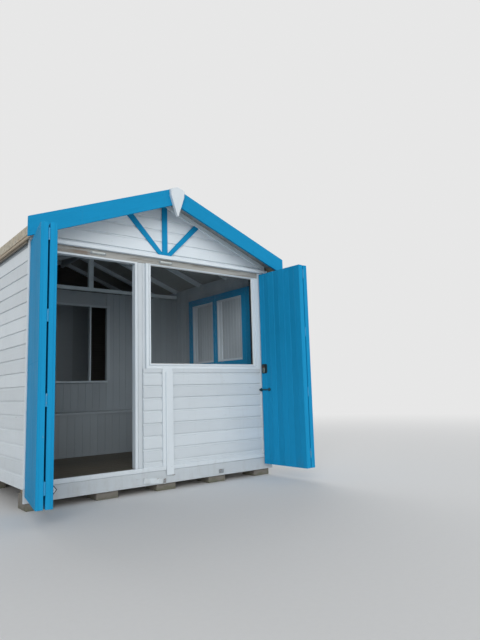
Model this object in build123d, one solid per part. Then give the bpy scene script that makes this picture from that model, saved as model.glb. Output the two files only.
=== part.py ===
from build123d import *
import math
import os

# Beach hut: a gabled timber hut on low piers, with a doorway and a fixed window under the front
# gable and two pairs of folding doors standing open. Millimetres, +X to the right seen from the
# front, +Y into the hut, +Z up, with the origin on the ground under the middle of the hut.

# Overall
width = 2740.0
depth = 3050.0
ridge_height = 3003.0
eave_rise = 91.2

# Ground and floor
pier_height = 130.0
pier_size = 215.0
pier_columns = 5
pier_rows = 3
pier_inset = 140.0
bearer_height = 50.0
bearer_width = 100.0
bearer_inset = 35.0
joist_height = 36.0
joist_width = 45.0
joist_count = 7
deck_thickness = 22.0
plinth_bottom = 70.0
plinth_thickness = 18.0
rail_height = 45.0
rail_nose = 6.0

# Walls
wall_thickness = 70.0
board_thickness = 14.0
corner_board = 30.0
frame_depth = 75.0
post_width = 120.0
gable_setback = 25.0

# Front
opening_height = 1983.0
door_width = 864.0
jamb_width = 28.0
jamb_setback = 10.0
head_frame = 17.0
header_height = 66.0
header_setback = 15.0
middle_post_width = 88.0
middle_post_setback = 20.0
dado_lap = 32.0
dado_setback = 5.0
window_sill_height = 945.0
window_side_left = 54.0
window_side_right = 92.0
window_bottom_rail = 47.0
window_top_rail = 12.0
glass_thickness = 4.0
glass_setback = 14.0
trim_height = 36.0
trim_nose = 25.0

# Roof
roof_drop = 61.0
roof_thickness = 22.0
rafter_depth = 55.0
rafter_width = 45.0
front_rafter_count = 4
rear_rafter_count = 3
ridge_thickness = 36.0
ridge_board_height = 110.0
overhang_front = 216.0
overhang_rear = 120.0
barge_depth = 174.0
barge_thickness = 25.0
barge_reach = 75.0
fascia_gap = 17.0
fascia_thickness = 18.0
fascia_height = 104.0
eave_board_height = 112.0
rake_trim_depth = 50.0
rake_trim_thickness = 18.0

# Gable fan and finial
fan_post_width = 60.0
fan_brace_width = 44.0
fan_thickness = 15.0
fan_spread = 395.0
finial_width = 158.0
finial_height = 305.0
finial_shoulder = 98.0
finial_tip = 12.0
finial_thickness = 36.0

# Inside
partition_distance = 1890.0
partition_thickness = 50.0
hatch_height = 882.0
hatch_ledge_thickness = 25.0
hatch_ledge_nose = 30.0
hatch_post_width = 30.0
slot_width = 203.0
partition_band = 209.0
tie_beam_height = 44.0
tie_beam_drop = 32.0
truss_post_width = 62.0
bench_height = 502.0
bench_depth = 440.0
bench_top_thickness = 22.0
bench_front_thickness = 18.0
bench_nose = 15.0
shutter_thickness = 35.0
shutter_frame = 87.0
shutter_side = 38.0
shutter_end = 36.0
shutter_gap = 5.0
shutter_post_width = 76.0
shutter_distance = 130.0

# Folding doors
leaf_length = 645.0
leaf_thickness = 55.0
leaf_gap = 14.0
leaf_bottom = 129.0
leaf_top_clearance = 26.0
leaf_inset = 10.0
left_splay = 10.4
right_splay = 2.1
hinge_height = 96.0
hinge_count = 4
hinge_end = 150.0
hinge_top_end = 48.0
hinge_radius = 6.0
hinge_plate = 2.5
hinge_plate_width = 34.0
fold_plate = 1.0
fold_plate_width = 30.0

# Small ironwork, boards and lamps
strip_width = 112.0
strip_thickness = 12.0
strip_offset = 2.5
batten_width = 80.0
batten_height = 1010.0
batten_thickness = 12.0
batten_offset = 20.0
cleat_length = 236.0
cleat_height = 50.0
cleat_thickness = 16.0
cleat_tilt = 6.8
cleat_start = 16.0
keep_thickness = 6.0
keep_width = 60.0
keep_height = 40.0
keep_rise = 22.0
keep_offset = 646.0
cleat_keep_width = 27.0
plate_width = 60.0
plate_height = 76.0
plate_thickness = 3.0
plate_edge = 250.0
plate_drop = 3.0
lamp_length = 150.0
lamp_height = 26.0
lamp_depth = 27.0
lamp_spacing = 731.0
hasp_height = 40.0
hasp_length = 72.0
hasp_thickness = 3.0
hasp_level = 1216.0
hasp_edge = 22.0
lock_width = 46.0
lock_height = 58.0
lock_depth = 20.0
shackle_radius = 3.5
shackle_rise = 18.0
hook_level = 948.0
hook_radius = 3.5
hook_reach = 121.0
hook_eye = 9.0
hook_edge = 10.0

half = width / 2
front = -depth / 2
rear = depth / 2
floor_bottom = pier_height + bearer_height
floor_top = floor_bottom + joist_height + deck_thickness
plinth_top = floor_top - rail_height
frame_back = front + frame_depth
post_outer = half - board_thickness
post_inner = post_outer - post_width
wall_inner = half - wall_thickness
head_bottom = floor_top + opening_height
header_bottom = head_bottom + head_frame
header_top = header_bottom + header_height
trim_top = header_top + trim_height
slope = (ridge_height - roof_drop - roof_thickness - header_top - eave_rise) / post_outer
door_left = -post_inner + jamb_width
door_right = door_left + door_width
middle_left = door_right + jamb_width
middle_right = middle_left + middle_post_width
sill_level = floor_top + window_sill_height
glass_left = middle_right + window_side_left
glass_right = post_inner - window_side_right
glass_bottom = sill_level + window_bottom_rail
glass_top = header_bottom - window_top_rail
barge_front = front - overhang_front
roof_front = barge_front + barge_thickness
roof_rear = rear + overhang_rear - barge_thickness
fascia_face = half + fascia_gap + fascia_thickness
barge_end = half + barge_reach
partition_front = front + partition_distance
partition_back = partition_front + partition_thickness
shutter_width = (glass_right - glass_left - shutter_gap) / 2 - shutter_side
shutter_height = glass_top - glass_bottom - shutter_end
leaf_top = header_top - leaf_top_clearance


def barge_top(x):
    return ridge_height - slope * abs(x)


def roof_top(x):
    return barge_top(x) - roof_drop


def roof_underside(x):
    return roof_top(x) - roof_thickness


def rafter_underside(x):
    return roof_underside(x) - rafter_depth


def block(x0, x1, y0, y1, z0, z1):
    """A plain box from its two opposite corners."""
    size = (abs(x1 - x0), abs(y1 - y0), abs(z1 - z0))
    middle = ((x0 + x1) / 2, (y0 + y1) / 2, (z0 + z1) / 2)
    return Pos(*middle) * Box(*size)


def prism(points, start, travel):
    """A polygon, given by its corners in space, drawn out along a straight travel."""
    corners = [Vector(*start) + Vector(*point) for point in points]
    return Solid.extrude(Face(Wire.make_polygon(corners)), Vector(*travel))


def across(profile, y0, y1):
    """A profile of (x, z) corners drawn out from y0 to y1."""
    return prism([(x, 0, z) for x, z in profile], (0, y0, 0), (0, y1 - y0, 0))


def mirrored(profile, side):
    return [(side * x, z) for x, z in profile]


def evenly(first, last, count):
    step = (last - first) / (count - 1)
    return [first + step * i for i in range(count)]


def join(shapes):
    solid = shapes[0]
    for shape in shapes[1:]:
        solid = solid + shape
    return solid


def pillar(x, y, z0, z1, radius):
    return Pos(x, y, (z0 + z1) / 2) * Cylinder(radius, z1 - z0)


# Ground works and floor

def piers():
    edge = half - pier_inset
    columns = evenly(-edge, edge, pier_columns)
    rows = evenly(front + pier_inset, rear - pier_inset, pier_rows)
    reach = pier_size / 2
    return [
        block(x - reach, x + reach, y - reach, y + reach, 0, pier_height)
        for y in rows for x in columns
    ]


def bearers():
    reach = half - bearer_inset
    rows = evenly(front + pier_inset, rear - pier_inset, pier_rows)
    return [
        block(-reach, reach, y - bearer_width / 2, y + bearer_width / 2, pier_height, floor_bottom)
        for y in rows
    ]


def floor_joists():
    edge = wall_inner - joist_width / 2
    return [
        block(
            x - joist_width / 2, x + joist_width / 2,
            front + plinth_thickness, rear - wall_thickness,
            floor_bottom, floor_bottom + joist_height,
        )
        for x in evenly(-edge, edge, joist_count)
    ]


def floor_deck():
    return block(
        -wall_inner, wall_inner, front + plinth_thickness, rear - wall_thickness,
        floor_top - deck_thickness, floor_top,
    )


def plinth_board():
    return block(-half, half, front, front + plinth_thickness, plinth_bottom, plinth_top)


def threshold_rail():
    rail = block(-post_outer, post_outer, front, front + plinth_thickness, plinth_top, floor_top)
    nose = block(-post_inner, post_inner, front - rail_nose, front, plinth_top, floor_top)
    return rail + nose


# Walls

def side_wall(side):
    """The wall slab and, past the corner post, its outer boards alone."""
    outline = [(half, corner_board), (post_outer, corner_board), (post_outer, frame_depth),
               (wall_inner, frame_depth), (wall_inner, depth - wall_thickness),
               (half, depth - wall_thickness)]
    points = [(side * x, front + y, 0) for x, y in outline]
    tall = prism(points, (0, 0, floor_bottom), (0, 0, ridge_height - floor_bottom))
    over = [(0, rafter_underside(0)), (fascia_face, rafter_underside(fascia_face)),
            (fascia_face, 2 * ridge_height), (0, 2 * ridge_height)]
    return tall - across(mirrored(over, side), front - depth, rear + depth)


def corner_board_strip(side):
    """The upright strip that closes the ends of the side boards at the front corner."""
    return block(side * post_outer, side * half, front, front + corner_board, plinth_top, header_top)


def gable(y0, y1, reach, foot):
    """An end wall from its foot up to the roof."""
    profile = [(-reach, foot), (reach, foot), (reach, roof_underside(reach)),
               (0, roof_underside(0)), (-reach, roof_underside(reach))]
    return across(profile, y0, y1)


def corner_post(side):
    return block(side * post_inner, side * post_outer, front, frame_back, floor_top, header_top)


def header_beam():
    return block(-post_inner, post_inner, front + header_setback, frame_back,
                 header_bottom, header_top)


def door_frame():
    y0 = front + jamb_setback
    left = block(-post_inner, door_left, y0, frame_back, floor_top, head_bottom)
    right = block(door_right, middle_left, y0, frame_back, floor_top, head_bottom)
    head = block(-post_inner, middle_left, y0, frame_back, head_bottom, header_bottom)
    return join([left, right, head])


def middle_post():
    return block(middle_left, middle_right, front + middle_post_setback, frame_back,
                 floor_top, header_bottom)


def dado_wall():
    lap = middle_right - dado_lap
    y0 = front + dado_setback
    y1 = front + middle_post_setback
    outline = [(lap, y0), (post_inner, y0), (post_inner, frame_back), (middle_right, frame_back),
               (middle_right, y1), (lap, y1)]
    points = [(x, y, 0) for x, y in outline]
    return prism(points, (0, 0, floor_top), (0, 0, sill_level - floor_top))


def window_frame():
    outer = block(middle_right, post_inner, front, frame_back, sill_level, header_bottom)
    header = block(middle_right, post_inner, front + header_setback, frame_back,
                   header_bottom - window_top_rail, header_bottom)
    hole = block(glass_left, glass_right, front - frame_depth, frame_back + frame_depth,
                 glass_bottom, glass_top)
    return (outer + header) - hole


def window_glass():
    y0 = front + glass_setback
    return block(glass_left, glass_right, y0, y0 + glass_thickness, glass_bottom, glass_top)


def trim_rail():
    return block(-half, half, front - trim_nose, front + gable_setback, header_top, trim_top)


# Roof

def roof_slope(side):
    profile = [(0, roof_top(0)), (fascia_face, roof_top(fascia_face)),
               (fascia_face, roof_underside(fascia_face)), (0, roof_underside(0))]
    return across(mirrored(profile, side), roof_front, roof_rear)


def rafters(side):
    inner = ridge_thickness / 2
    profile = [(inner, roof_underside(inner)), (half, roof_underside(half)),
               (half, rafter_underside(half)), (inner, rafter_underside(inner))]
    first = frame_back + rafter_width / 2
    truss_middle = partition_front + partition_thickness / 2
    last = rear - wall_thickness - rafter_width / 2
    middles = (evenly(first, truss_middle, front_rafter_count)
               + evenly(truss_middle, last, rear_rafter_count)[1:])
    return [
        across(mirrored(profile, side), y - rafter_width / 2, y + rafter_width / 2)
        for y in middles
    ]


def ridge_board():
    reach = ridge_thickness / 2
    foot = roof_underside(0) - ridge_board_height
    profile = [(-reach, foot), (reach, foot), (reach, roof_underside(reach)),
               (0, roof_underside(0)), (-reach, roof_underside(reach))]
    return across(profile, frame_back, rear - wall_thickness)


def barge(side, y0, y1):
    profile = [(0, barge_top(0)), (barge_end, barge_top(barge_end)),
               (barge_end, barge_top(barge_end) - barge_depth), (0, barge_top(0) - barge_depth)]
    return across(mirrored(profile, side), y0, y1)


def fascia(side):
    """The board at the roof's edge that the felt laps over."""
    lap = half + fascia_gap
    profile = [(lap, roof_underside(lap)), (fascia_face, roof_underside(fascia_face)),
               (fascia_face, roof_top(fascia_face) - fascia_height),
               (lap, roof_top(fascia_face) - fascia_height)]
    return across(mirrored(profile, side), roof_front, roof_rear)


def eave_board(side):
    """The board that packs the fascia off the wall."""
    lap = half + fascia_gap
    profile = [(half, roof_underside(half)), (lap, roof_underside(lap)),
               (lap, roof_underside(half) - eave_board_height),
               (half, roof_underside(half) - eave_board_height)]
    return across(mirrored(profile, side), front + gable_setback, rear)


def rake_trim(side):
    y1 = front + gable_setback
    profile = [(0, roof_underside(0)), (post_outer, roof_underside(post_outer)),
               (post_outer, roof_underside(post_outer) - rake_trim_depth),
               (0, roof_underside(0) - rake_trim_depth)]
    return across(mirrored(profile, side), y1 - rake_trim_thickness, y1)


def gable_fan():
    """An upright and two slanting strips that meet on the trim rail."""
    y1 = front + gable_setback
    y0 = y1 - fan_thickness

    def soffit(x):
        return roof_underside(x) - rake_trim_depth

    reach = fan_post_width / 2
    post = across([(-reach, trim_top), (reach, trim_top), (reach, soffit(reach)),
                   (0, soffit(0)), (-reach, soffit(reach))], y0, y1)
    rise = soffit(fan_spread) - trim_top
    lean = math.atan2(fan_spread - reach, rise)
    half_width = fan_brace_width / 2 / math.cos(lean)
    strips = [post]
    for side in (-1, 1):
        brace = [(reach - half_width, trim_top), (reach + half_width, trim_top),
                 (fan_spread + half_width, soffit(fan_spread + half_width)),
                 (fan_spread - half_width, soffit(fan_spread - half_width))]
        strips.append(across(mirrored(brace, side), y0, y1))
    return join(strips)


def finial():
    """A shield: its top follows both barge boards, its sides drop upright, then taper to a blunt tip."""
    reach = finial_width / 2
    shoulder = ridge_height - finial_shoulder
    tip = ridge_height - finial_height
    right = [(reach, barge_top(reach)), (reach - 3.0, shoulder), (finial_tip / 2, tip)]
    left = [(-x, z) for x, z in reversed(right)]
    points = [Vector(x, 0, z) for x, z in [(0, ridge_height)] + right + left]
    outline = Wire([Edge.make_line(a, b) for a, b in zip(points, points[1:] + points[:1])])
    plate = Solid.extrude(Face(outline), Vector(0, finial_thickness, 0))
    return Pos(0, barge_front - finial_thickness, 0) * plate


# Inside

hatch_level = floor_top + hatch_height
tie_bottom = rafter_underside(wall_inner) - tie_beam_drop - tie_beam_height
tie_top = tie_bottom + tie_beam_height
slot_left = hatch_post_width / 2
slot_right = slot_left + slot_width
band_bottom = tie_bottom - partition_band


def partition():
    """The boarded wall behind the bench, with a wide hatch and a narrow slot beside its post."""
    base_top = hatch_level - hatch_ledge_thickness
    base = block(-wall_inner, wall_inner, partition_front, partition_back, floor_top, base_top)
    full = block(slot_right, wall_inner, partition_front, partition_back, base_top, tie_bottom)
    over = block(-wall_inner, slot_right, partition_front, partition_back, band_bottom, tie_bottom)
    return join([base, full, over])


def hatch_ledge():
    return block(-wall_inner, slot_right, partition_front - hatch_ledge_nose,
                 partition_back + hatch_ledge_nose, hatch_level - hatch_ledge_thickness, hatch_level)


def hatch_post():
    return block(-slot_left, slot_left, partition_front, partition_back, hatch_level, band_bottom)


def truss():
    """The tie beam over the partition and the post from it to the ridge board."""
    beam = block(-wall_inner, wall_inner, partition_front, partition_back, tie_bottom, tie_top)
    reach = truss_post_width / 2
    post = block(-reach, reach, partition_front, partition_back, tie_top,
                 roof_underside(0) - ridge_board_height)
    return beam + post


bench_top = floor_top + bench_height
bench_face = partition_front - bench_depth


def bench_seat():
    return block(-wall_inner, wall_inner, bench_face - bench_nose, partition_front,
                 bench_top - bench_top_thickness, bench_top)


def bench_front():
    return block(-wall_inner, wall_inner, bench_face, bench_face + bench_front_thickness,
                 floor_top, bench_top - bench_top_thickness)


shutter_post_start = front + shutter_distance + frame_depth


def shutter_post():
    return block(wall_inner - shutter_thickness, wall_inner, shutter_post_start,
                 shutter_post_start + shutter_post_width, glass_bottom, glass_bottom + shutter_height)


def shutter(number):
    """A framed and boarded leaf that lies open against the right-hand wall."""
    y0 = shutter_post_start + shutter_post_width + number * (shutter_width + shutter_gap)
    y1 = y0 + shutter_width
    z0 = glass_bottom
    z1 = z0 + shutter_height
    face = wall_inner - shutter_thickness
    slab = block(face, wall_inner, y0, y1, z0, z1)
    panel = block(face, face + shutter_thickness / 3, y0 + shutter_frame, y1 - shutter_frame,
                  z0 + shutter_frame, z1 - shutter_frame)
    return slab - panel


# Folding doors. Each pair is drawn on the right-hand side and turned about its hinge pin.

pin_x = half - leaf_inset - leaf_thickness
pin_y = front - hinge_radius - hinge_plate / 2
leaf_start = hinge_radius + hinge_plate / 2
leaf_end = leaf_start + leaf_length


def turned(shape, side, splay):
    """Takes a shape drawn at the pin, with the pair along -Y, to its place at one corner."""
    placed = Pos(pin_x, pin_y, 0) * (Rot(0, 0, splay) * shape)
    return placed if side > 0 else mirror(placed, Plane.YZ)


def door_leaf(inner):
    x0 = -leaf_gap - leaf_thickness if inner else 0
    return block(x0, x0 + leaf_thickness, -leaf_end, -leaf_start, leaf_bottom, leaf_top)


def hinge_levels():
    reach = hinge_height / 2
    return evenly(leaf_bottom + hinge_end, leaf_top - hinge_top_end - reach, hinge_count)


def post_hinge(level, splay):
    """A butt hinge: a plate on the corner post, a barrel and a plate on the end of the leaf."""
    z0 = level - hinge_height / 2
    z1 = level + hinge_height / 2
    barrel = pillar(0, 0, z0, z1, hinge_radius)
    leaf_plate = block(-hinge_radius / 2, hinge_plate_width, -leaf_start,
                       hinge_plate - leaf_start, z0, z1)
    post_plate = block(-hinge_plate_width, hinge_radius / 2, hinge_radius - hinge_plate / 2,
                       hinge_radius + hinge_plate / 2, z0, z1)
    return join([barrel, leaf_plate, Rot(0, 0, -splay) * post_plate])


def fold_hinge(level):
    """A butt hinge between the two leaves at their outer ends."""
    z0 = level - hinge_height / 2
    z1 = level + hinge_height / 2
    barrel = pillar(-leaf_gap / 2, -leaf_end, z0, z1, leaf_gap / 2 - fold_plate / 2)
    plates = [
        block(x, x + fold_plate, -leaf_end, fold_plate_width - leaf_end, z0, z1)
        for x in (-leaf_gap, -fold_plate)
    ]
    return join([barrel] + plates)


def pair_hinges(splay):
    levels = hinge_levels()
    return [post_hinge(z, splay) for z in levels] + [fold_hinge(z) for z in levels]


def hasp():
    """A plate near the free edge of the inner leaf, with a closed padlock in its staple."""
    face = -leaf_gap - leaf_thickness
    y1 = -leaf_start - hasp_edge
    middle = y1 - hasp_length / 2
    z0 = hasp_level - hasp_height / 2
    plate = block(face - hasp_thickness, face, y1 - hasp_length, y1, z0, z0 + hasp_height)
    x = face - hasp_thickness - lock_depth / 2
    reach = lock_width / 2 - 2 * shackle_radius
    top = z0 + shackle_rise - reach
    body_top = z0 - shackle_rise / 2
    body = block(x - lock_depth / 2, x + lock_depth / 2, middle - lock_width / 2,
                 middle + lock_width / 2, body_top - lock_height, body_top)
    legs = [pillar(x, middle + s * reach, body_top, top, shackle_radius) for s in (-1, 1)]
    bow = Pos(x, middle, top) * (Rot(0, 90, 0) * Torus(reach, shackle_radius))
    bow = bow & block(x - lock_depth, x + lock_depth, middle - lock_width, middle + lock_width,
                      top, top + lock_width)
    staple = block(x - shackle_radius, face - hasp_thickness, middle - shackle_radius,
                   middle + shackle_radius, top + reach - 3 * shackle_radius, top + reach)
    return join([plate, body, staple, bow] + legs)


def cabin_hook():
    """A hook from an eye beside the window to an eye on the inner leaf."""
    leaf_face = -leaf_gap - leaf_thickness
    local = (leaf_face - hook_eye, -leaf_start - hook_reach)
    turn = math.radians(right_splay)
    far = (pin_x + local[0] * math.cos(turn) - local[1] * math.sin(turn),
           pin_y + local[0] * math.sin(turn) + local[1] * math.cos(turn))
    wall_face = front + dado_setback
    near = (post_inner - hook_edge, wall_face - 1.5 * hook_eye)
    run = math.dist(near, far)
    swing = math.degrees(math.atan2(far[0] - near[0], near[1] - far[1]))
    middle = Pos((near[0] + far[0]) / 2, (near[1] + far[1]) / 2, hook_level)
    bar = middle * (Rot(0, 0, swing) * (Rot(90, 0, 0) * Cylinder(hook_radius, run)))
    near_eye = block(near[0] - hook_eye, near[0] + hook_eye, near[1] - hook_eye, wall_face,
                     hook_level - hook_eye, hook_level + hook_eye)
    far_eye = block(local[0] - hook_eye, leaf_face, local[1] - hook_eye, local[1] + hook_eye,
                    hook_level - hook_eye, hook_level + hook_eye)
    return join([bar, near_eye, turned(far_eye, 1, right_splay)])


# Boards, plates and lamps on the front

def centre_batten():
    """The strip over the joint of the dado boards, and the round-topped batten nailed to it."""
    strip_left = strip_offset - strip_width / 2
    strip_face = front + dado_setback - strip_thickness
    strip = block(strip_left, strip_left + strip_width, strip_face, front + dado_setback,
                  floor_top, sill_level)
    reach = batten_width / 2
    foot = plinth_top - rail_height
    shoulder = foot + batten_height - reach / 2
    batten = block(batten_offset - reach, batten_offset + reach, strip_face - batten_thickness,
                   strip_face, foot, shoulder)
    rounding = Rot(90, 0, 0) * Cylinder(reach, batten_thickness)
    cap = Pos(batten_offset, strip_face - batten_thickness / 2, shoulder) * rounding
    crown = cap & block(batten_offset - reach, batten_offset + reach,
                        strip_face - batten_thickness, strip_face, foot, foot + batten_height)
    return join([strip, batten, crown])


def on_cleat(shape):
    """Takes a shape drawn level from the foot of the cleat's right end to its place there."""
    place = Pos(batten_offset - batten_width / 2 - cleat_start, 0, plinth_bottom)
    return place * (Rot(0, cleat_tilt, 0) * shape)


def cleat_board():
    """A short offcut nailed to the plinth beside the batten, a little out of level."""
    return on_cleat(block(-cleat_length, 0, front - cleat_thickness, front, 0, cleat_height))


def keeps():
    """Two small plates that take the bolts of the doors, one of them on the cleat."""
    z0 = plinth_bottom + keep_rise
    right = block(keep_offset - keep_width / 2, keep_offset + keep_width / 2,
                  front - keep_thickness, front, z0, z0 + keep_height)
    y1 = front - cleat_thickness
    rise = (cleat_height - keep_height) / 2
    left = block(-cleat_keep_width, 0, y1 - keep_thickness, y1, rise, rise + keep_height)
    return [on_cleat(left), right]


def corner_plate():
    """A diamond-shaped plate at the left end of the plinth board."""
    x = -half + plate_edge
    z = plinth_top - plate_drop - plate_height / 2
    outline = [(x - plate_width / 2, z), (x, z - plate_height / 2), (x + plate_width / 2, z),
               (x, z + plate_height / 2)]
    return across(outline, front - plate_thickness, front)


def lamps():
    z0 = (header_bottom + header_top - lamp_height) / 2
    y1 = front + header_setback
    return [
        block(x - lamp_length / 2, x + lamp_length / 2, y1 - lamp_depth, y1, z0, z0 + lamp_height)
        for x in (-lamp_spacing, 0.0)
    ]


def both(make, *sizes):
    """The same piece on the left and on the right."""
    return [make(side, *sizes) for side in (-1, 1)]


def pieces():
    """Every named piece of the hut, in its place."""
    yield "piers", piers()
    yield "bearers", bearers()
    yield "floor_joists", floor_joists()
    yield "floor_deck", floor_deck()
    yield "plinth_board", plinth_board()
    yield "threshold_rail", threshold_rail()
    yield "left_wall", side_wall(-1)
    yield "right_wall", side_wall(1)
    yield "rear_wall", gable(rear - wall_thickness, rear, half, floor_bottom)
    yield "front_gable", gable(front + gable_setback, frame_back, post_outer, header_top)
    yield "corner_boards", both(corner_board_strip)
    yield "corner_posts", both(corner_post)
    yield "header_beam", header_beam()
    yield "door_frame", door_frame()
    yield "middle_post", middle_post()
    yield "dado_wall", dado_wall()
    yield "window_frame", window_frame()
    yield "window_glass", window_glass()
    yield "trim_rail", trim_rail()
    yield "rake_trim", join(both(rake_trim))
    yield "gable_fan", gable_fan()
    yield "finial", finial()
    yield "roof_left", roof_slope(-1)
    yield "roof_right", roof_slope(1)
    yield "rafters", rafters(-1) + rafters(1)
    yield "ridge_board", ridge_board()
    yield "fascias", both(fascia)
    yield "eave_boards", both(eave_board)
    yield "barge_left", barge(-1, barge_front, roof_front)
    yield "barge_right", barge(1, barge_front, roof_front)
    yield "barge_rear", join(both(barge, roof_rear, rear + overhang_rear))
    yield "partition", partition()
    yield "hatch_ledge", hatch_ledge()
    yield "hatch_post", hatch_post()
    yield "truss", truss()
    yield "bench_seat", bench_seat()
    yield "bench_front", bench_front()
    yield "shutter_post", shutter_post()
    yield "shutters", [shutter(0), shutter(1)]
    yield "centre_batten", centre_batten()
    yield "cleat_board", cleat_board()
    yield "keeps", keeps()
    yield "corner_plate", corner_plate()
    yield "lamps", lamps()
    for name, side, splay in (("left", -1, left_splay), ("right", 1, right_splay)):
        yield f"door_{name}_outer", turned(door_leaf(False), side, splay)
        yield f"door_{name}_inner", turned(door_leaf(True), side, splay)
        yield f"hinges_{name}", [turned(hinge, side, splay) for hinge in pair_hinges(splay)]
    yield "hasp", turned(hasp(), 1, right_splay)
    yield "cabin_hook", cabin_hook()


def main():
    os.makedirs("parts", exist_ok=True)
    for name, shape in pieces():
        solid = Compound(children=shape) if isinstance(shape, list) else shape
        export_step(solid, f"parts/{name}.step")


main()
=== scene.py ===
"""A timber beach hut: white shiplap walls, azure barge boards and two pairs of folding doors."""
import functools
import math
import random

import bmesh
import bpy
from mathutils import Matrix, Vector, noise


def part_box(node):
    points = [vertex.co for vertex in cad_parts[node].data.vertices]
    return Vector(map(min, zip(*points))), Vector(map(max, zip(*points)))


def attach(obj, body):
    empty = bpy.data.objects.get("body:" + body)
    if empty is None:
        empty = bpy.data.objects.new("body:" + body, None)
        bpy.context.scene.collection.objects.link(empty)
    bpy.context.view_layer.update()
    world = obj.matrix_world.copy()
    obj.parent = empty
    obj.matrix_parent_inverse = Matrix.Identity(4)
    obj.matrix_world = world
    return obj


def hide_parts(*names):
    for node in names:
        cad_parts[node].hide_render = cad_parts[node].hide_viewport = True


bl_info = {
    "name": "Beach hut finishes",
    "version": (1, 0, 0),
    "blender": (4, 5, 0),
    "location": "3D View > Sidebar > Beach hut",
    "description": "Boards, paint, felt, glass and ironwork of a timber beach hut",
    "category": "Object",
}

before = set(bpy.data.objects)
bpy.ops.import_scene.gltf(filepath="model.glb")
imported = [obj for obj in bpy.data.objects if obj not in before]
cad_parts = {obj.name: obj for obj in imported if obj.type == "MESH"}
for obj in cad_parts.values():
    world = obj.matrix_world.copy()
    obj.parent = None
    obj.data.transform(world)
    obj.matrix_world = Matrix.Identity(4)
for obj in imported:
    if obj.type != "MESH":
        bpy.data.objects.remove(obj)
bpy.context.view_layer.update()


# Places, from the parts in model.glb

def low(node):
    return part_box(node)[0]


def high(node):
    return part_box(node)[1]


HALF = high("trim_rail").x
FLOOR = high("floor_deck").z
WALL_INNER = high("floor_deck").x
POST_OUTER = high("corner_posts").x
GABLE_FACE = low("front_gable").y
RIDGE = high("barge_left").z
BARGE_END = high("barge_right").x
BARGE_SLOPE = (RIDGE - max(v.co.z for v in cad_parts["barge_right"].data.vertices
                           if v.co.x > BARGE_END - 0.001)) / BARGE_END
TILT = math.atan(BARGE_SLOPE)
STUD_SPACING = 0.58
ROOF_TOP = high("roof_left").z
ROOF_UNDER = high("rear_wall").z
EAVE = high("roof_right").x


def under_roof(x):
    return ROOF_UNDER - BARGE_SLOPE * abs(x)


def on_roof(side, x, lift, y=0.0):
    """The point of the roof's top at x, lifted square to the slope."""
    level = ROOF_TOP - BARGE_SLOPE * x
    return Vector((side * (x + lift * math.sin(TILT)), y, level + lift * math.cos(TILT)))


# Settings that a user would change

def length(name, description, default, least, most):
    return bpy.props.FloatProperty(
        name=name, description=description, default=default, min=least, max=most, unit="LENGTH")


def paint(name, description, default):
    return bpy.props.FloatVectorProperty(
        name=name, description=description, default=default, min=0.0, max=1.0, size=3, subtype="COLOR")


class HutBoards(bpy.types.PropertyGroup):
    cover: length("Shiplap cover", "Height that each wall board shows", 0.1216, 0.08, 0.2)
    thickness: length("Shiplap thickness", "Thickness of a wall board", HALF - POST_OUTER, 0.008, 0.03)
    match_pitch: length("Matchboard pitch", "Width of the boards inside", 0.093, 0.05, 0.15)
    door_boards: bpy.props.IntProperty(
        name="Door boards", description="Upright boards on one door leaf", default=8, min=4, max=14)
    nail_head: length("Nail head", "Radius of a nail head", 0.0042, 0.002, 0.01)
    wander: length("Wander", "How far a board strays from its line", 0.0006, 0.0, 0.003)


class HutPaint(bpy.types.PropertyGroup):
    # The outside white, the azure and the inside white carry a cool blue cast: partly their own colour,
    # partly painted light, the tint of sky-lit shade.
    white: paint("White", "Outside white paint", (0.635, 0.692, 0.732))
    azure: paint("Azure", "Paint of the doors and the barge boards", (0.011, 0.266, 0.520))
    inside: paint("Inside white", "Paint inside the hut", (0.45, 0.508, 0.548))
    felt: paint("Felt", "Mineral finish of the roof felt", (0.50, 0.455, 0.365))
    # The floor colour is kept dark, partly as painted shade inside the hut.
    floor: paint("Floor", "Worn floor boards", (0.085, 0.070, 0.046))


def boards():
    return bpy.context.scene.hut_boards


def paints():
    return bpy.context.scene.hut_paint


# Shader maths

def add_node(tree, kind, settings=None, values=None):
    """A node with its settings, then the values or links of its sockets."""
    node = tree.nodes.new(kind)
    for key, value in (settings or {}).items():
        setattr(node, key, value)
    for key, value in (values or {}).items():
        value = getattr(value, "socket", value)
        if isinstance(value, bpy.types.NodeSocket):
            tree.links.new(value, node.inputs[key])
        else:
            node.inputs[key].default_value = value
    return node


class Term:
    """A shader socket that can stand in a formula."""

    def __init__(self, shader, socket):
        self.shader = shader
        self.socket = socket

    def __add__(self, other):
        return self.shader.maths("ADD", self, other)

    def __mul__(self, other):
        return self.shader.maths("MULTIPLY", self, other)

    def __sub__(self, other):
        return self.shader.maths("SUBTRACT", self, other)

    def __rsub__(self, other):
        return self.shader.maths("SUBTRACT", other, self)

    __radd__ = __add__
    __rmul__ = __mul__

    def over(self, start, end):
        """0 below start and 1 above end, with a smooth rise between them."""
        return self.shader.add("ShaderNodeMapRange", {"interpolation_type": "SMOOTHSTEP"},
                               {"Value": self, "From Min": start, "From Max": end})


def scaled(colour, share):
    return tuple(min(1.0, c * share) for c in colour)


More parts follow.
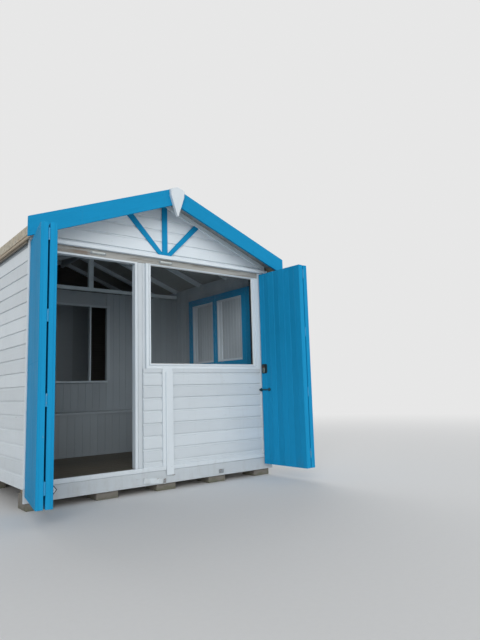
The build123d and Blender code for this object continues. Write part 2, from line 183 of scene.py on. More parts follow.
class Shader:
    """The node tree of one material, which carries a slot name."""

    def __init__(self, name, slot=None):
        self.material = bpy.data.materials.new(name)
        self.material.use_nodes = True
        self.slot = slot
        self.tree = self.material.node_tree
        self.tree.nodes.clear()
        self.output = self.tree.nodes.new("ShaderNodeOutputMaterial")
        self.place = self.add("ShaderNodeTexCoord", output="Object")

    def add(self, kind, settings=None, values=None, output=0):
        return Term(self, add_node(self.tree, kind, settings, values).outputs[output])

    def maths(self, operation, a, b):
        return self.add("ShaderNodeMath", {"operation": operation}, {0: a, 1: b})

    def mix(self, a, b, factor):
        """Colour a where factor is 0 and colour b where it is 1."""
        a, b = (v if isinstance(v, Term) else (*v, 1.0) for v in (a, b))
        return self.add("ShaderNodeMix", {"data_type": "RGBA"}, {0: factor, 6: a, 7: b}, 2)

    def shades(self, colour, dark, light, factor):
        """A colour times dark where factor is 0 and times light where it is 1."""
        return self.mix(scaled(colour, dark), scaled(colour, light), factor)

    def stretched(self, along, share, turn=0.0):
        """The place, shrunk along one axis, so that a pattern runs that way, turned about Y."""
        size = [1.0 / share if axis == along else 1.0 for axis in "XYZ"]
        return self.add("ShaderNodeMapping", {"vector_type": "TEXTURE"}, {
            "Vector": self.place, "Rotation": (0.0, turn, 0.0), "Scale": size})

    def noise(self, scale, detail=3.0, roughness=0.55, along=None, share=1.0, turn=0.0):
        place = self.stretched(along, share, turn) if along else self.place
        return self.add("ShaderNodeTexNoise", values={
            "Vector": place, "Scale": scale, "Detail": detail, "Roughness": roughness})

    def grains(self, scale):
        """Cells of random grey."""
        cells = self.add("ShaderNodeTexVoronoi", {"feature": "F1"},
                         {"Vector": self.place, "Scale": scale}, "Color")
        return self.add("ShaderNodeRGBToBW", values={0: cells})

    def axis(self, name):
        return self.add("ShaderNodeSeparateXYZ", values={0: self.place}, output=name)

    def tone(self):
        """The random tone that each board carries, 0 where there is none."""
        return self.add("ShaderNodeAttribute", {"attribute_name": "tone"}, output="Fac")

    def surface(self, tint, roughness, relief=None, depth=0.0, **others):
        """The finished material and its slot: relief is a height map, depth metres deep."""
        values = {"Base Color": tint, "Roughness": roughness}
        values.update((key.replace("_", " "), value) for key, value in others.items())
        if relief is not None:
            values["Normal"] = self.add("ShaderNodeBump", None, {"Height": relief, "Distance": depth})
        shader = self.add("ShaderNodeBsdfPrincipled", None, values)
        self.tree.links.new(shader.socket, self.output.inputs["Surface"])
        return self.material, self.slot


# Finishes: each is a material and a slot name, and is made once for its values

@functools.cache
def brushed_paint(name, slot, colour, along="X", grime=0.35, peel=0.0, rough=0.42, bare=(0.24, 0.19, 0.14),
                  dirt=(0.25, 0.235, 0.20), sheen=0.5, turn=0.0, contrast=0.25):
    """Gloss paint on timber: brush marks along the board, chalking, splashes and peeling spots."""
    shader = Shader(name, slot)
    brush = shader.noise(210.0, 3.0, 0.55, along, 0.035, turn)
    grain = shader.noise(70.0, 5.0, 0.65, along, 0.045, turn)
    cloud = shader.noise(2.6, 4.0)
    chalk = shader.noise(11.0, 5.0, 0.7, "Z", 0.35)
    low_down = 1 - shader.axis("Z").over(0.06, 0.42)
    splash = (chalk + low_down * 0.24).over(0.64, 0.98)
    streak = shader.noise(26.0, 4.0, 0.6, "Z", 0.06).over(0.56, 0.78)
    chips = shader.noise(34.0, 6.0, 0.7, along, 0.25) + cloud * 0.18 + low_down * 0.03
    bare_wood = chips.over(0.815 - peel, 0.83 - peel)
    tint = shader.shades(colour, 0.84, 1.10, cloud * 0.5 + grain * contrast + shader.tone() * 0.45
                         + (0.245 - contrast / 2))
    tint = shader.mix(tint, dirt, (splash * 0.55 + streak * 0.28) * grime)
    tint = shader.mix(tint, shader.shades(bare, 0.6, 1.0, grain), bare_wood)
    return shader.surface(tint, brush * 0.16 + chalk * 0.16 + bare_wood * 0.4 + (rough - 0.14),
                          grain * 0.6 + brush * 0.4 - bare_wood * 0.9, 0.0011, Specular_IOR_Level=sheen)


@functools.cache
def weathered_header():
    """The header over the openings: old cream paint in flakes on grey timber, both kept dark, partly as
    painted shade under the trim rail.
    """
    shader = Shader("weathered_header", "white_paint")
    streaks = shader.noise(62.0, 6.0, 0.7, "X", 0.03)
    fine = shader.noise(190.0, 4.0, 0.6, "X", 0.04)
    patch = shader.noise(3.4, 3.0, 0.55, "X", 0.6)
    across = shader.axis("X")
    worn = across.over(-1.10, -0.93) * (1 - across.over(-0.85, -0.78))
    flaked = (streaks + patch * 0.34 + worn * 0.10).over(0.69, 0.76)
    rust = (streaks * 0.8 + worn * 0.35).over(0.66, 0.90)
    cream = shader.mix((0.27, 0.27, 0.255), (0.44, 0.435, 0.41), fine * 0.6 + patch * 0.4)
    timber = shader.mix((0.13, 0.115, 0.095), (0.27, 0.245, 0.21), fine)
    timber = shader.mix(timber, (0.165, 0.105, 0.070), rust)
    return shader.surface(shader.mix(cream, timber, flaked * 0.8), fine * 0.2 + flaked * 0.2 + 0.5,
                          streaks * 0.7 + fine * 0.3 - flaked * 0.6, 0.0016)


@functools.cache
def mineral_felt():
    """Roofing felt: mineral granules, tan patches, lap stains and a little lichen, with painted shade in
    creases and painted light between them.
    """
    shader = Shader("mineral_felt", "roof_felt")
    colour = paints().felt
    granule = shader.grains(420.0)
    speckle = shader.noise(240.0)
    lichen = shader.noise(23.0, 5.0, 0.75).over(0.66, 0.72)
    stain = shader.noise(5.0, 4.0, 0.7, "X", 0.4).over(0.42, 0.9)
    # This mask darkens the creases and lightens the felt between them: painted shade and painted light.
    crease_shade_and_light = shader.noise(24.0, 6.0, 0.75)
    tan = shader.noise(15.0, 4.0, 0.7).over(0.52, 0.62)
    tint = shader.shades(colour, 0.62, 1.35, granule * 0.6 + shader.noise(3.0, 5.0, 0.65) * 0.4)
    for patch_colour, share in ((scaled(colour, 0.55), stain * 0.40),
                                (scaled(colour, 0.42), crease_shade_and_light.over(0.50, 0.60) * 0.34),
                                (scaled(colour, 1.5), (1 - crease_shade_and_light).over(0.52, 0.62) * 0.38),
                                ((0.45, 0.29, 0.15), tan * 0.30), ((0.40, 0.42, 0.30), lichen * 0.4)):
        tint = shader.mix(tint, patch_colour, share)
    return shader.surface(tint, speckle * 0.15 + 0.82, speckle * 0.6 + granule * 0.4, 0.0015)


@functools.cache
def raw_timber(colour, along="X", slot="bare_timber"):
    """Unpainted weathered softwood with its grain and year rings."""
    shader = Shader("raw_timber", slot)
    rings = shader.add("ShaderNodeTexWave", {"bands_direction": "Z"}, {
        "Vector": shader.stretched(along, 0.05), "Scale": 14.0, "Distortion": 9.0, "Detail": 4.0,
        "Detail Scale": 1.6})
    fine = shader.noise(160.0, 4.0, 0.6, along, 0.04)
    mixed = rings * 0.3 + fine * 0.35 + shader.noise(4.0, 4.0) * 0.35 + shader.tone() * 0.3
    return shader.surface(shader.shades(colour, 0.5, 1.5, mixed), fine * 0.25 + 0.6,
                          fine * 0.7 + rings * 0.3, 0.0012)


@functools.cache
def worn_floor():
    """Brown floor boards: grain along X, paler and darker boards, scuffs and a dusting of sand."""
    shader = Shader("worn_floor", "floor_boards")
    fine = shader.noise(150.0, 5.0, 0.65, "X", 0.04)
    cloud = shader.noise(3.2, 5.0, 0.6)
    scuff = shader.noise(19.0, 5.0, 0.75, "X", 0.4).over(0.52, 0.72)
    tint = shader.shades(paints().floor, 0.55, 1.45, fine * 0.5 + cloud * 0.35 + shader.tone() * 0.4)
    return shader.surface(shader.mix(tint, (0.36, 0.30, 0.225), scuff * 0.22),
                          0.42 + fine * 0.2 + scuff * 0.15, fine, 0.0009)


@functools.cache
def cast_block():
    """Rough concrete blocks, damp and mossy at the foot."""
    shader = Shader("cast_block", "masonry")
    pits = shader.noise(95.0, 6.0, 0.7)
    cloud = shader.noise(9.0, 4.0)
    damp = 1 - shader.axis("Z").over(0.0, 0.075)
    # The blocks' colours are kept dark: painted shade of the space under the hut.
    tint = shader.mix((0.11, 0.10, 0.088), (0.25, 0.232, 0.202), pits * 0.5 + cloud * 0.5)
    tint = shader.mix(tint, (0.085, 0.095, 0.055), (cloud + damp * 0.35).over(0.62, 0.9) * 0.6)
    return shader.surface(tint, pits * 0.15 + 0.8, pits * 0.8 + cloud * 0.2, 0.004)


@functools.cache
def painted_iron():
    """Old hinges: galvanised plates with the door's paint brushed over most of them."""
    shader = Shader("hinge_iron", "ironwork")
    cloud = shader.noise(34.0, 5.0, 0.7)
    brush = shader.noise(240.0, 3.0, 0.55, "Z", 0.08)
    coated = (cloud + brush * 0.35).over(0.512, 0.572)
    rust = cloud.over(0.68, 0.74)
    metal = shader.mix((0.16, 0.18, 0.19), (0.30, 0.33, 0.35), brush)
    metal = shader.mix(metal, (0.17, 0.075, 0.035), rust * 0.8)
    return shader.surface(shader.mix(metal, scaled(paints().azure, 0.95), coated), brush * 0.15 + 0.40,
                          cloud + coated, 0.0004, Metallic=(1 - coated) * (1 - rust) * 0.45)


@functools.cache
def zinc_iron(rust=0.0, colour=(0.33, 0.37, 0.39), metal=0.85):
    """Galvanised iron: dull spangle and spots of rust, with little metal where it is painted."""
    shader = Shader("zinc_iron", "ironwork")
    cloud = shader.noise(60.0, 5.0, 0.7)
    spots = (cloud + shader.noise(9.0, 2.0) * 0.25).over(0.78 - rust, 0.86 - rust)
    tint = shader.shades(colour, 0.75, 1.0, shader.grains(160.0) * 0.5 + cloud * 0.5)
    return shader.surface(shader.mix(tint, (0.17, 0.062, 0.026), spots * 0.9),
                          cloud * 0.2 + spots * 0.35 + 0.33, cloud * 0.5 + spots * 0.5, 0.0005,
                          Metallic=(1 - spots) * metal)


@functools.cache
def lamp_plastic():
    """Aged white plastic with patches of dust."""
    shader = Shader("lamp_plastic", "white_paint")
    dust = shader.noise(55.0, 5.0, 0.7)
    tint = shader.shades((0.56, 0.59, 0.575), 1.0, 0.72, dust.over(0.45, 0.75) * 0.6)
    return shader.surface(tint, dust * 0.2 + 0.3, dust, 0.0002)


@functools.cache
def window_pane():
    """Clear glass with salt haze: mostly see-through, a little greyer in smears."""
    shader = Shader("window_pane", "pane")
    haze = shader.noise(4.0, 5.0, 0.65)
    smears = shader.noise(30.0, 4.0, 0.55, "Z", 0.12)
    shader.material.surface_render_method = "DITHERED"
    return shader.surface(shader.mix((0.02, 0.03, 0.036), (0.06, 0.072, 0.08), smears),
                          haze * 0.05 + smears * 0.04, Alpha=haze * 0.035 + smears * 0.025 + 0.035)


@functools.cache
def sealing_putty():
    """Grey-white putty round the glass."""
    shader = Shader("sealing_putty", "white_paint")
    crumb = shader.noise(140.0, 4.0)
    return shader.surface(shader.mix((0.42, 0.44, 0.44), (0.60, 0.63, 0.64), crumb),
                          crumb * 0.2 + 0.55, crumb, 0.0006)


def white(along="X", grime=0.35, peel=0.0, tone=1.0):
    """Outside white paint."""
    return brushed_paint("white", "white_paint", scaled(paints().white, tone), along, grime, peel)


def azure(along="Z", grime=0.3, tone=1.0, turn=0.0):
    """Azure paint of the doors, barge boards and shutters, with more grain where it is turned."""
    return brushed_paint("azure", "blue_paint", scaled(paints().azure, tone), along, grime, 0.0, 0.47,
                         (0.30, 0.44, 0.50), (0.09, 0.19, 0.25), 0.03, turn, 0.75 if turn else 0.45)


def inside(along="Z", tone=1.0, slot="inside_paint"):
    """Matt white paint inside the hut."""
    return brushed_paint("inside", slot, scaled(paints().inside, tone), along, 0.22, 0.0, 0.5)


# Mesh tools

def circle(centre, side, up, radius, count):
    """Points round a circle that starts along side and turns towards up."""
    turns = (math.tau * k / count for k in range(count))
    return [centre + (side * math.cos(a) + up * math.sin(a)) * radius for a in turns]


def front_ring(y, x0, x1, z0, z1):
    """Corners of an upright rectangle that faces the front."""
    return [(x0, y, z0), (x1, y, z0), (x1, y, z1), (x0, y, z1)]


def side_ring(x, y0, y1, z0, z1):
    """Corners of an upright rectangle that faces a side wall."""
    return [(x, y0, z0), (x, y1, z0), (x, y1, z1), (x, y0, z1)]


class Shape:
    """Closed solids in one mesh."""

    def __init__(self):
        self.bm = bmesh.new()

    def loft(self, rings, closed=False):
        """Skins rings of points in order, with end faces, or joins the last ring to the first."""
        loops = [[self.bm.verts.new(p) for p in ring] for ring in rings]
        pairs = list(zip(loops, loops[1:]))
        if closed:
            pairs.append((loops[-1], loops[0]))
        for a, b in pairs:
            for i in range(len(a)):
                j = (i + 1) % len(a)
                self.bm.faces.new((a[i], a[j], b[j], b[i]))
        if not closed:
            self.bm.faces.new(loops[0][::-1])
            self.bm.faces.new(loops[-1])
        return self

    def prism(self, outline, travel):
        return self.loft([outline, [Vector(p) + Vector(travel) for p in outline]])

    def block(self, start, end):
        (x0, y0, z0), (x1, y1, z1) = start, end
        return self.prism([(x0, y0, z0), (x1, y0, z0), (x1, y1, z0), (x0, y1, z0)], (0, 0, z1 - z0))

    def tube(self, points, radius, sides=10, closed=False):
        """A round bar along points."""
        points = [Vector(p) for p in points]
        rings = []
        side = None
        for i, p in enumerate(points):
            before = points[i - 1] if i or closed else p
            after = points[(i + 1) % len(points)] if i + 1 < len(points) or closed else p
            ahead = (after - before).normalized()
            side = side or ahead.orthogonal().normalized()
            side = (side - ahead * side.dot(ahead)).normalized()
            rings.append(circle(p, side, ahead.cross(side), radius, sides))
        return self.loft(rings, closed)

    def turning(self, centre, axis, outline, sides=16):
        """A round piece from (distance along the axis, radius) pairs."""
        axis = Vector(axis).normalized()
        side = axis.orthogonal().normalized()
        return self.loft([circle(Vector(centre) + axis * along, side, axis.cross(side), radius, sides)
                          for along, radius in outline])

    def copy_node(self, node):
        """A CAD node's mesh, its loose triangles merged and its flat faces joined."""
        self.bm.from_mesh(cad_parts[node].data)
        bmesh.ops.remove_doubles(self.bm, verts=self.bm.verts, dist=0.00002)
        bmesh.ops.dissolve_limit(self.bm, angle_limit=math.radians(0.5), verts=self.bm.verts,
                                 edges=self.bm.edges)
        return self

    def mesh(self, name, bevel=0.0, segments=1, smooth=False):
        bmesh.ops.remove_doubles(self.bm, verts=self.bm.verts, dist=0.000005)
        bmesh.ops.recalc_face_normals(self.bm, faces=self.bm.faces)
        if bevel:
            sharp = [e for e in self.bm.edges
                     if e.is_manifold and e.calc_face_angle(0.0) > math.radians(25)]
            bmesh.ops.bevel(self.bm, geom=sharp, offset=bevel, segments=segments, profile=0.5,
                            affect="EDGES", clamp_overlap=True)
        mesh = bpy.data.meshes.new(name)
        self.bm.to_mesh(mesh)
        self.bm.free()
        if smooth:
            mesh.shade_smooth()
            mesh.set_sharp_from_angle(angle=math.radians(38))
        return mesh

    def place(self, name, finish, *nodes, bevel=0.0, segments=1, smooth=False, slot=None):
        return place_piece(name, self.mesh(name, bevel, segments, smooth), finish, *nodes, slot=slot)


def place_piece(name, mesh, finish, *nodes, slot=None):
    """Puts a finished mesh in the scene as a piece of the hut that stands for the named nodes."""
    piece = bpy.data.objects.new(name, mesh)
    bpy.context.scene.collection.objects.link(piece)
    material, own_slot = finish
    if not mesh.materials:
        mesh.materials.append(material)
    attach(piece, "root")
    if nodes:
        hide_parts(*nodes)
    return piece


def dress(node, finish, bevel=0.003):
    """The node's own shape with eased edges and a finish."""
    Shape().copy_node(node).place(node + "_piece", finish, node, bevel=bevel, segments=2)


def row_tree():
    """Geometry nodes: rows of copies of one shape, each a little astray and with its own tone."""
    tree = bpy.data.node_groups.new("rows of copies", "GeometryNodeTree")
    kinds = {"Geometry": "Geometry", "Shape": "Object", "Count": "Int", "Step": "Vector", "Rows": "Int",
             "Row step": "Vector", "Wander": "Vector", "Seed": "Int", "Material": "Material"}
    for name, kind in kinds.items():
        tree.interface.new_socket(name, in_out="INPUT", socket_type="NodeSocket" + kind)
    tree.interface.new_socket("Geometry", in_out="OUTPUT", socket_type="NodeSocketGeometry")

    def add(kind, values, output=0, **settings):
        return add_node(tree, kind, settings, values).outputs[output]

    given = add_node(tree, "NodeGroupInput").outputs
    row, rows = (add("GeometryNodeMeshLine", {"Count": given[count], "Offset": given[step]}, mode="OFFSET")
                 for count, step in (("Count", "Step"), ("Rows", "Row step")))
    lattice = add("GeometryNodeInstanceOnPoints", {"Points": rows, "Instance": row})
    points = add("GeometryNodeRealizeInstances", {"Geometry": lattice})
    back = add("ShaderNodeVectorMath", {0: given["Wander"], "Scale": -1.0}, operation="SCALE")
    astray = add("FunctionNodeRandomValue", {"Min": back, "Max": given["Wander"], "Seed": given["Seed"]},
                 data_type="FLOAT_VECTOR")
    moved = add("GeometryNodeSetPosition", {"Geometry": points, "Offset": astray})
    source = add("GeometryNodeObjectInfo", {"Object": given["Shape"]}, "Geometry")
    copies = add("GeometryNodeInstanceOnPoints", {"Points": moved, "Instance": source})
    tone = add("FunctionNodeRandomValue", {2: -0.5, 3: 0.5, "Seed": given["Seed"]}, 1, data_type="FLOAT")
    toned = add("GeometryNodeStoreNamedAttribute", {"Geometry": copies, "Name": "tone", "Value": tone},
                data_type="FLOAT", domain="INSTANCE")
    real = add("GeometryNodeRealizeInstances", {"Geometry": toned})
    painted = add("GeometryNodeSetMaterial", {"Geometry": real, "Material": given["Material"]})
    add_node(tree, "NodeGroupOutput", None, {"Geometry": painted})
    return tree


seeds = iter(range(11, 9999))


def place_rows(name, shape, finish, count, step, rows=1, row_step=(0, 0, 0), wander=(0, 0, 0),
               nodes=(), slot=None, smooth=False):
    """One piece of count times rows copies of a shape, the first where the shape lies."""
    tree = bpy.data.node_groups.get("rows of copies") or row_tree()
    source = bpy.data.objects.new(name + "_source", shape.mesh(name + "_source", smooth=smooth))
    holder = bpy.data.objects.new(name + "_holder", bpy.data.meshes.new(name + "_holder"))
    for thing in (source, holder):
        bpy.context.scene.collection.objects.link(thing)
    modifier = holder.modifiers.new("rows", "NODES")
    modifier.node_group = tree
    given = {"Shape": source, "Count": count, "Step": step, "Rows": rows, "Row step": row_step,
             "Wander": wander, "Seed": next(seeds), "Material": finish[0]}
    for item in tree.interface.items_tree:
        if item.in_out == "INPUT" and item.name in given:
            modifier[item.identifier] = given[item.name]
    holder.update_tag()
    graph = bpy.context.evaluated_depsgraph_get()
    mesh = bpy.data.meshes.new_from_object(holder.evaluated_get(graph))
    mesh.name = name
    for thing in (holder, source):
        bpy.data.objects.remove(thing)
    place_piece(name, mesh, finish, *nodes, slot=slot)


# Boards and nails

def shiplap(thick=None):
    """(out, up) corners of a shiplap board: its face, a hollow near the top and the lapped edge."""
    cover = boards().cover
    thick = thick or boards().thickness
    lap = 0.0015
    hollow_out = 0.62 * thick
    hollow_up = 0.019
    crown = cover - 0.004
    outline = [(0, 0), (thick - lap, 0), (thick, lap)]
    for k in range(5):
        angle = math.pi / 2 * k / 4
        outline.append((thick - hollow_out * math.sin(angle), crown - hollow_up * math.cos(angle)))
    return outline + [(thick - hollow_out, cover - lap), (0, cover - lap)]


def vee_board(pitch, thick, vee=0.005):
    """(across, out) corners of a board whose face edges are cut to a V joint."""
    gap = 0.0004
    return [(gap, 0), (pitch - gap, 0), (pitch - gap, thick - vee), (pitch - vee, thick),
            (vee, thick), (gap, thick - vee)]


def board(outline, origin, first, second, travel):
    """A straight board: its outline is drawn along two directions and drawn out along travel."""
    origin, first, second = Vector(origin), Vector(first), Vector(second)
    return Shape().prism([origin + first * a + second * b for a, b in outline], travel)


def joined_boards(name, finish, origin, across, out, width, count, thick, vee, travel, *nodes):
    """Count V-jointed boards side by side over a width, as one piece."""
    pitch = width / count
    plank = board(vee_board(pitch, thick, vee), origin, across, out, travel)
    place_rows(name, plank, finish, count, Vector(across) * pitch, nodes=nodes)


def nail(centre, out, radius=None):
    """A low round head standing on the board's face."""
    radius = radius or boards().nail_head
    return Shape().turning(centre, out, [(0, radius), (0.35 * radius, 0.85 * radius),
                                         (0.5 * radius, 0.4 * radius)], 8)


def nails(name, first, out, finish, count, step, rows, row_step):
    place_rows(name, nail(first, out), finish, count, step, rows, row_step,
               Vector(step).normalized() * 0.006, slot="ironwork", smooth=True)


def board_nails(name, first, out, along, count, spacing, rows):
    """White nail heads, a row of them along each shiplap board."""
    step = [spacing if axis == along else 0.0 for axis in "XYZ"]
    nails(name, first, out, white(along, 0.4, tone=0.85), count, step, rows, (0, 0, boards().cover))


def nailed(level):
    """Where the nails sit on a shiplap board whose foot is at a level."""
    return level + 0.3 * boards().cover


def sloped_boards(shape, levels, reach, apex, back, out):
    """Level shiplap boards across a gable, their ends cut to the slope of the roof."""
    for level in levels:
        top = min(level + boards().cover, apex - 0.01)
        ends = []
        for side in (-1, 1):
            end = [(depth, min(level + up, top)) for depth, up in shiplap()]
            ends.append([(side * min(reach, (apex - z) / BARGE_SLOPE), back + out * depth, z)
                         for depth, z in end])
        shape.loft(ends)


def gable_slab(reach, y0, y1, foot, shoulder, apex):
    """A slab with the outline of the gable."""
    outline = [(-reach, y0, foot), (reach, y0, foot), (reach, y0, shoulder), (0, y0, apex),
               (-reach, y0, shoulder)]
    return Shape().prism(outline, (0, y1 - y0, 0))


def place_toned(name, shape, finish, *nodes):
    """Places loose boards, each with its own random tone."""
    mesh = shape.mesh(name)
    draw = random.Random(7)
    tone = mesh.attributes.new("tone", "FLOAT", "POINT").data
    bm = bmesh.new()
    bm.from_mesh(mesh)
    seen = set()
    for vert in bm.verts:
        if vert in seen:
            continue
        value = draw.uniform(-0.5, 0.5)
        edge = {vert}
        while edge:
            seen |= edge
            for here in edge:
                tone[here.index].value = value
            edge = {link.other_vert(here) for here in edge for link in here.link_edges} - seen
    bm.free()
    place_piece(name, mesh, finish, *nodes)


# Pieces

class HutPiece:
    """What the operators share."""
    bl_options = {"REGISTER"}

    def execute(self, context):
        self.make()
        return {"FINISHED"}


class HUT_OT_stage(HutPiece, bpy.types.Operator):
    """Camera, soft lights, pale floor and pale background"""
    bl_idname = "hut.stage"
    bl_label = "Stage and camera"

    eye = Vector((-2.776, low("plinth_board").y - 4.673, 0.945))
    yaw = 0.674
    pitch = 0.131
    roll = -0.028
    focal_pixels = 535.0
    frame_height = 640.0
    film = 36.0
    pale = (0.80, 0.80, 0.80, 1.0)
    suns = {"key": ((-0.66, -0.90, 0.44), 1.55, 42.0), "fill": ((0.42, -0.95, 0.16), 0.62, 60.0),
            "back": ((0.35, 0.85, 0.75), 0.95, 50.0), "reflector": ((-0.05, -0.90, -0.42), 0.42, 70.0)}

    def make(self):
        scene = bpy.context.scene
        scene.view_settings.view_transform = "Standard"
        data = bpy.data.cameras.new("camera")
        data.lens = self.film * self.focal_pixels / self.frame_height
        data.sensor_width = self.film
        data.clip_end = 400.0
        scene.camera = self.link("camera", data)
        scene.camera.matrix_world = (
            Matrix.Translation(self.eye) @ Matrix.Rotation(-self.yaw, 4, "Z")
            @ Matrix.Rotation(math.pi / 2 + self.pitch, 4, "X") @ Matrix.Rotation(self.roll, 4, "Z"))
        for name, (toward, strength, spread) in self.suns.items():
            data = bpy.data.lights.new(name, "SUN")
            data.energy = strength
            data.angle = math.radians(spread)
            self.link(name, data).rotation_euler = Vector(toward).to_track_quat("Z", "Y").to_euler()
        self.floor()
        self.sky()

    def link(self, name, data):
        thing = bpy.data.objects.new(name, data)
        bpy.context.scene.collection.objects.link(thing)
        return thing

    def floor(self):
        """A wide pale floor that fades to the background's colour."""
        reach = 90.0
        shape = Shape()
        rim = circle(Vector(), Vector((1, 0, 0)), Vector((0, 1, 0)), reach, 96)
        shape.bm.faces.new([shape.bm.verts.new(p) for p in rim])
        floor = self.link("studio_floor", shape.mesh("studio_floor"))
        shader = Shader("studio_floor")
        grit = shader.mix((0.70, 0.70, 0.70), (0.73, 0.73, 0.73), shader.noise(30.0, 4.0))
        floor.data.materials.append(shader.surface(grit, 0.9)[0])
        far = shader.add("ShaderNodeVectorMath", {"operation": "LENGTH"}, {0: shader.place}, "Value")
        seen = shader.add("ShaderNodeLightPath", output="Is Camera Ray")
        glow = shader.add("ShaderNodeEmission", None, {"Color": self.pale})
        surface = shader.output.inputs["Surface"]
        blend = shader.add("ShaderNodeMixShader", None, {
            0: far.over(4.0, 15.0) * seen, 1: surface.links[0].from_socket, 2: glow})
        shader.tree.links.new(blend.socket, surface)
        floor.visible_shadow = False

    def sky(self):
        """Soft cool light, which the camera, gloss and glass see as the pale background."""
        world = bpy.data.worlds.new("studio")
        bpy.context.scene.world = world
        world.use_nodes = True
        tree = world.node_tree
        tree.nodes.clear()
        path = add_node(tree, "ShaderNodeLightPath").outputs
        either = path["Is Camera Ray"]
        for name in ("Is Glossy Ray", "Is Transmission Ray"):
            either = add_node(tree, "ShaderNodeMath", {"operation": "MAXIMUM"},
                              {0: either, 1: path[name]}).outputs[0]
        light, shown = (add_node(tree, "ShaderNodeBackground", None, {"Color": tint, "Strength": strength})
                        for tint, strength in (((0.95, 0.98, 1.0, 1.0), 0.40), (self.pale, 1.0)))
        mix = add_node(tree, "ShaderNodeMixShader", None,
                       {0: either, 1: light.outputs[0], 2: shown.outputs[0]})
        add_node(tree, "ShaderNodeOutputWorld", None, {"Surface": mix.outputs[0]})


class HUT_OT_ground_works(HutPiece, bpy.types.Operator):
    """Block piers, bearers and joists under the floor"""
    bl_idname = "hut.ground_works"
    bl_label = "Piers, bearers and joists"

    timber = (0.23, 0.185, 0.135)

    def make(self):
        dress("piers", cast_block(), 0.006)
        dress("bearers", raw_timber(self.timber, "X"))
        dress("floor_joists", raw_timber(self.timber, "Y"))


class HUT_OT_floor(HutPiece, bpy.types.Operator):
    """Floor boards across the hut"""
    bl_idname = "hut.floor"
    bl_label = "Floor boards"

    count = 24

    def make(self):
        start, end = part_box("floor_deck")
        joined_boards("floor_boards", worn_floor(), start, (0, 1, 0), (0, 0, 1), end.y - start.y,
                      self.count, end.z - start.z, 0.0025, (end.x - start.x, 0, 0), "floor_deck")


class HUT_OT_walls(HutPiece, bpy.types.Operator):
    """Shiplap side and rear walls with their linings, corner strips and nails"""
    bl_idname = "hut.walls"
    bl_label = "Side and rear walls"

    lining = 0.012
    strip = 0.045
    plate_level = 2.32
    store_edges = (0.180, 0.445)

    def make(self):
        for side, name in ((-1, "left_wall"), (1, "right_wall")):
            self.side_wall(side, name)
        self.rear_wall()
        dress("corner_boards", white("Z", 0.3, tone=1.04), 0.002)
        dress("corner_posts", white("Z", 0.3))

    def side_wall(self, side, name):
        cover = boards().cover
        start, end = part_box(name)
        face = side * (HALF - boards().thickness)
        inner = side * (WALL_INNER + self.lining)
        back = start.y + self.strip
        count = math.floor((end.z - start.z) / cover)
        core = Shape().block((face, back, start.z), (inner, end.y, end.z))
        core.place(name + "_core", inside("Y", 0.8, "white_paint"))
        plank = board(shiplap(), (face, start.y, start.z), (side, 0, 0), (0, 0, 1), (0, end.y - start.y, 0))
        place_rows(name + "_boards", plank, white("Y", 0.4), count, (0, 0, cover),
                   wander=(boards().wander, 0, 0), nodes=[name])
        run = end.y - back
        joined_boards(name + "_lining", inside("Z"), (inner, back, FLOOR), (0, 1, 0), (-side, 0, 0), run,
                      round(run / boards().match_pitch), self.lining, 0.005,
                      (0, 0, under_roof(WALL_INNER) - 0.03 - FLOOR))
        studs = math.floor((end.y - start.y) / STUD_SPACING) + 1
        board_nails(name + "_nails", (side * HALF, start.y + 0.03, nailed(start.z)), (side, 0, 0), "Y",
                    studs, STUD_SPACING, count)

    def rear_wall(self):
        cover = boards().cover
        start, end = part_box("rear_wall")
        face = end.y - boards().thickness
        reach = HALF - self.strip
        shape = Shape()
        levels = [start.z + cover * k for k in range(math.ceil((end.z - start.z) / cover))]
        sloped_boards(shape, levels, reach, end.z, face, 1)
        place_toned("rear_wall_boards", shape, white("X", 0.42), "rear_wall")
        edge = 0.012
        inner = HALF - edge - 0.0003
        left, right = self.store_edges
        # This near-black timber is painted shade: the store's far wall and the gable above the plate are
        # darkened as if unlit.
        bare = raw_timber((0.07, 0.063, 0.055), "X", "inside_paint")
        for name, x0, x1, proud, finish, bevel in (
                ("rear_lining_left", -inner, left, 0.0, inside("Z"), 0.002),
                ("rear_lining_right", left, right, 0.012, inside("Z", 0.78), 0.002),
                ("rear_lining_bare", right, inner, 0.0, bare, 0.0)):
            sheet = Shape().block((x0, start.y + proud, start.z), (x1, face, self.plate_level))
            sheet.place(name, finish, bevel=bevel)
        shoulder = under_roof(HALF)
        upper = gable_slab(inner, start.y, face, self.plate_level, shoulder, end.z)
        upper.place("rear_gable_lining", bare)
        strips = Shape()
        for side in (-1, 1):
            for x, y0, y1 in ((reach, face, end.y), (HALF - edge, start.y + 0.001, face)):
                x0, x1 = sorted((side * x, side * HALF))
                strips.block((x0, y0, start.z), (x1, y1, shoulder))
        strips.place("rear_corner_strips", white("Z", 0.3), bevel=0.002, segments=2)
        board_nails("rear_wall_nails", (-2 * STUD_SPACING, end.y - 0.001, nailed(start.z)), (0, 1, 0), "X",
                    5, STUD_SPACING, 17)


